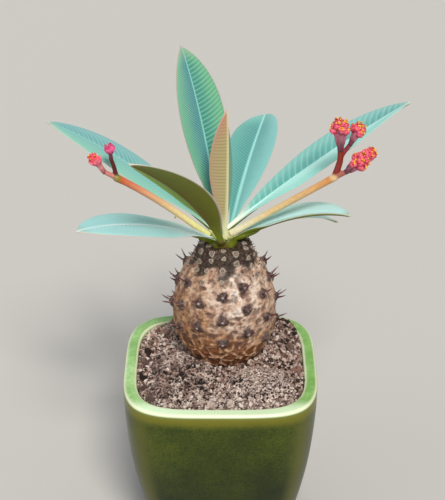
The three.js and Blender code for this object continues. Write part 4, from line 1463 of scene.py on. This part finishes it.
def grainShape(place, radius, chance, detail):  # a broken crumb of lava, turned at random
    points, faces = roundedShape(detail)
    turn = Matrix.Rotation(chance.uniform(0, 6.28), 3, (chance.uniform(-1, 1),
                                                        chance.uniform(-1, 1), 0.6))
    lumps = 1.0
    for strength in (0.3, 0.16):
        way = np.array([chance.uniform(-1, 1) for _ in range(3)])
        lumps = lumps + strength * np.sin(points @ way / strength + chance.uniform(0, 6))
    size = np.array([chance.uniform(0.75, 1.25), chance.uniform(0.75, 1.1),
                     chance.uniform(0.6, 0.95)]) * radius
    return (points * lumps[:, None] * size) @ np.array(turn).T + np.array(place), faces


def bedShape():
    # The bed of grit: up its wall, in over its top, and down the hole the stem stands in
    gap, columns = ground["gap"], ground["columns"]
    floor, edgeHeight = pot["floor"] + gap, ground["edge"]
    middle = np.array(caudex["place"][:2])
    rings = [squareRing(innerHalf(floor) - 6, floor, columns),
             squareRing(innerHalf(floor) - 3 - gap, floor, columns)]
    rings += [squareRing(innerHalf(z) - gap, z, columns)
              for z in (floor + 4, *ground["levels"], edgeHeight - 3)]
    edge = squareRing(innerHalf(edgeHeight) - gap, 0, columns)[:, :2]
    inward = unit(edge - middle)
    rim = middle + inward * (stemRadius(ground["collar"]) + gap)
    size, rise = ground["crumb"]
    for share in np.linspace(0, 1, ground["rings"]):
        flat = edge + (rim - edge) * share
        x, y = flat.T
        height = gritTop(x, y)
        for stone in stones.values():
            pressed = 1 - smoothStep(0.5, 1.0, insideStone(x, y, stone, -1))
            height = height - ground["hollow"] * pressed
        ring = np.column_stack([flat, height])
        crumbs = rise * hashNoise(ring, size, 5) + 0.5 * rise * hashNoise(ring, 0.5 * size, 3)
        rings.append(np.column_stack([flat, height + crumbs]))
    for depth in np.linspace(*ground["hole"], 8):
        wall = middle + inward * (stemRadius(depth) + gap)
        rings.append(np.column_stack([wall, np.full(columns, depth)]))
    return ringsShape(rings)


def grainTone(x, y, chance):  # dark on the heap, pale in front, and painted lighter far left against the stem's shadow
    heap = bell(math.dist((x, y), ground["heap"][:2]), 16)
    front = max(0, min(1, (ground["paleStrip"] - y) / 5))
    # painted light: far back on the left the crumbs are lightened where the stem's shadow falls
    back = max(0, min(1, (-x - 8) / 10)) * max(0, min(1, (y - 8) / 10))
    tone = chance.gauss(*ground["tone"]) - 0.06 * heap + 0.04 * front + 0.1 * back
    return min(max(tone, 0), ground["lightest"])


def isFree(x, y, radius):  # whether a grain of this radius fits between wall, stem and stones
    if squareReach(np.array([[x, y]]))[0] > innerHalf(ground["edge"]) - 0.75 * radius:
        return False
    if math.dist((x, y), caudex["place"][:2]) < stemRadius(ground["collar"] - 0.5) + 0.6 * radius:
        return False
    return min(insideStone(x, y, stone, 0) for stone in stones.values()) >= 0.93


def grainShapes():
    chance, field = random.Random(ground["seeds"][0]), ground["field"]
    shapes, tones = [], []
    for count, low, high, detail in ground["grains"]:
        placed = 0
        while placed < count:
            x, y = (chance.uniform(-field, field) for _ in range(2))
            radius = low + (high - low) * chance.random() ** 1.8
            if isFree(x, y, radius):
                z = gritTop(x, y) + chance.uniform(-0.1, 0.5) * radius
                shapes.append(grainShape((x, y, z), radius, chance, detail))
                tones.append(grainTone(x, y, chance))
                placed += 1
    for x, y, radius, tone in ground["pebbles"]:
        z = gritTop(x, y) + 0.3 * radius
        shapes.append(grainShape((x, y, z), radius * 1.1, chance, 4))
        tones.append(tone)
    return shapes, tones


def lavaGrit():
    # Crushed volcanic grit: dry, matt crumbs from red-black through pinkish grey to cream
    material, tree, mark = newMaterial("lavaGrit", ("tone", "loose", "warm"))
    place = addNode(tree, "TexCoord", {}, "Object")
    fine = addNode(tree, "TexNoise", {  # the broken surface of a crumb, 0.7 mm
        "Vector": place, "Scale": 1 / (0.7 * mm), "Detail": 4, "Roughness": 0.75})
    crumb = addNode(tree, "TexVoronoi", {"Vector": place, "Scale": 1 / (0.9 * mm)}, "Color")
    crumbs = addNode(tree, "Math", {"operation": "MULTIPLY_ADD", "Value": crumb,
                                    "Value_001": mark["loose"], "Value_002": mark["tone"]})
    mixed = addNode(tree, "Math", {"operation": "MULTIPLY_ADD", "Value": fine,
                                   "Value_001": 0.5, "Value_002": crumbs})
    colour = addNode(tree, "ValToRGB", {"Fac": mixed, "stops": [
        (0.3, "#2a1d19"), (0.44, "#6b554d"), (0.58, "#a2897f"), (0.7, "#c6b2a8"),
        (0.85, "#eaddd4")]})
    tinted = addNode(tree, "Mix", {"blend_type": "MULTIPLY", "Factor": mark["warm"],
                                   "A": colour, "B": "#d0987c"})
    bump = addNode(tree, "Bump", {"Strength": 1, "Distance": 0.7 * mm, "Height": fine})
    return finished(material, {"Base Color": tinted, "Normal": bump, "Roughness": 0.9,
                               "IOR": 1.45})


def frothyLava():
    # Scoria, cooled full of gas bubbles: matt, pale on the bubble walls, with painted shade dark
    # inside them
    material, tree, mark = newMaterial("frothyLava", ("pit", "bleached"))
    place = addNode(tree, "TexCoord", {}, "Object")
    fine = addNode(tree, "TexNoise", {  # grain of the bubble walls, 0.8 mm
        "Vector": place, "Scale": 1 / (0.8 * mm), "Detail": 4, "Roughness": 0.75})
    reddish = addNode(tree, "ValToRGB", {"Fac": fine, "stops": [
        (0.34, "#3a2a26"), (0.5, "#876d64"), (0.62, "#c4aba1")]})
    bleached = addNode(tree, "ValToRGB", {"Fac": fine, "stops": [
        (0.34, "#5a463f"), (0.48, "#b39a90"), (0.6, "#f6e6dc")]})
    colour = reddish
    # the pit mark paints shade into the bubble holes
    for name, over in (("bleached", bleached), ("pit", "#211713")):
        colour = addNode(tree, "Mix", {"Factor": mark[name], "A": colour, "B": over})
    bump = addNode(tree, "Bump", {"Strength": 0.9, "Distance": 0.4 * mm, "Height": fine})
    return finished(material, {"Base Color": colour, "Normal": bump, "Roughness": 0.92,
                               "IOR": 1.45})


def addGrit():
    bed = bedShape()
    grains, tones = grainShapes()
    chance = random.Random(ground["seeds"][1])
    marks = [{"tone": 0.25 * hashNoise(bed[0], 1.6, 6),
              "warm": 0.15 * smoothStep(*ground["warmFrom"], bed[0][:, 1]), "loose": 0.5}]
    for (points, _), tone in zip(grains, tones):
        warm = 0.8 * chance.random() ** 3 * smoothStep(*ground["warmFrom"], points[0, 1])
        marks.append({"tone": tone, "warm": warm})
    shapes = [bed, *grains]
    addPiece("gritBed", joinedShape(shapes), [lavaGrit()], "soil", "grit",
             joinedMarks(shapes, marks))


def addStones():
    skin = frothyLava()
    for name, stone in stones.items():
        shape, marks = lavaShape(stone)
        addPiece(name + "-rock", shape, [skin], name, "lava_stone", marks)


addCaudex()
print("swollen stem ready")
addLeaves()
print("leaves ready")
addStalks()
print("flower stalks ready")
addHeads()
print("flower heads ready")
addGrit()
addStones()
print("grit and lava stones ready")
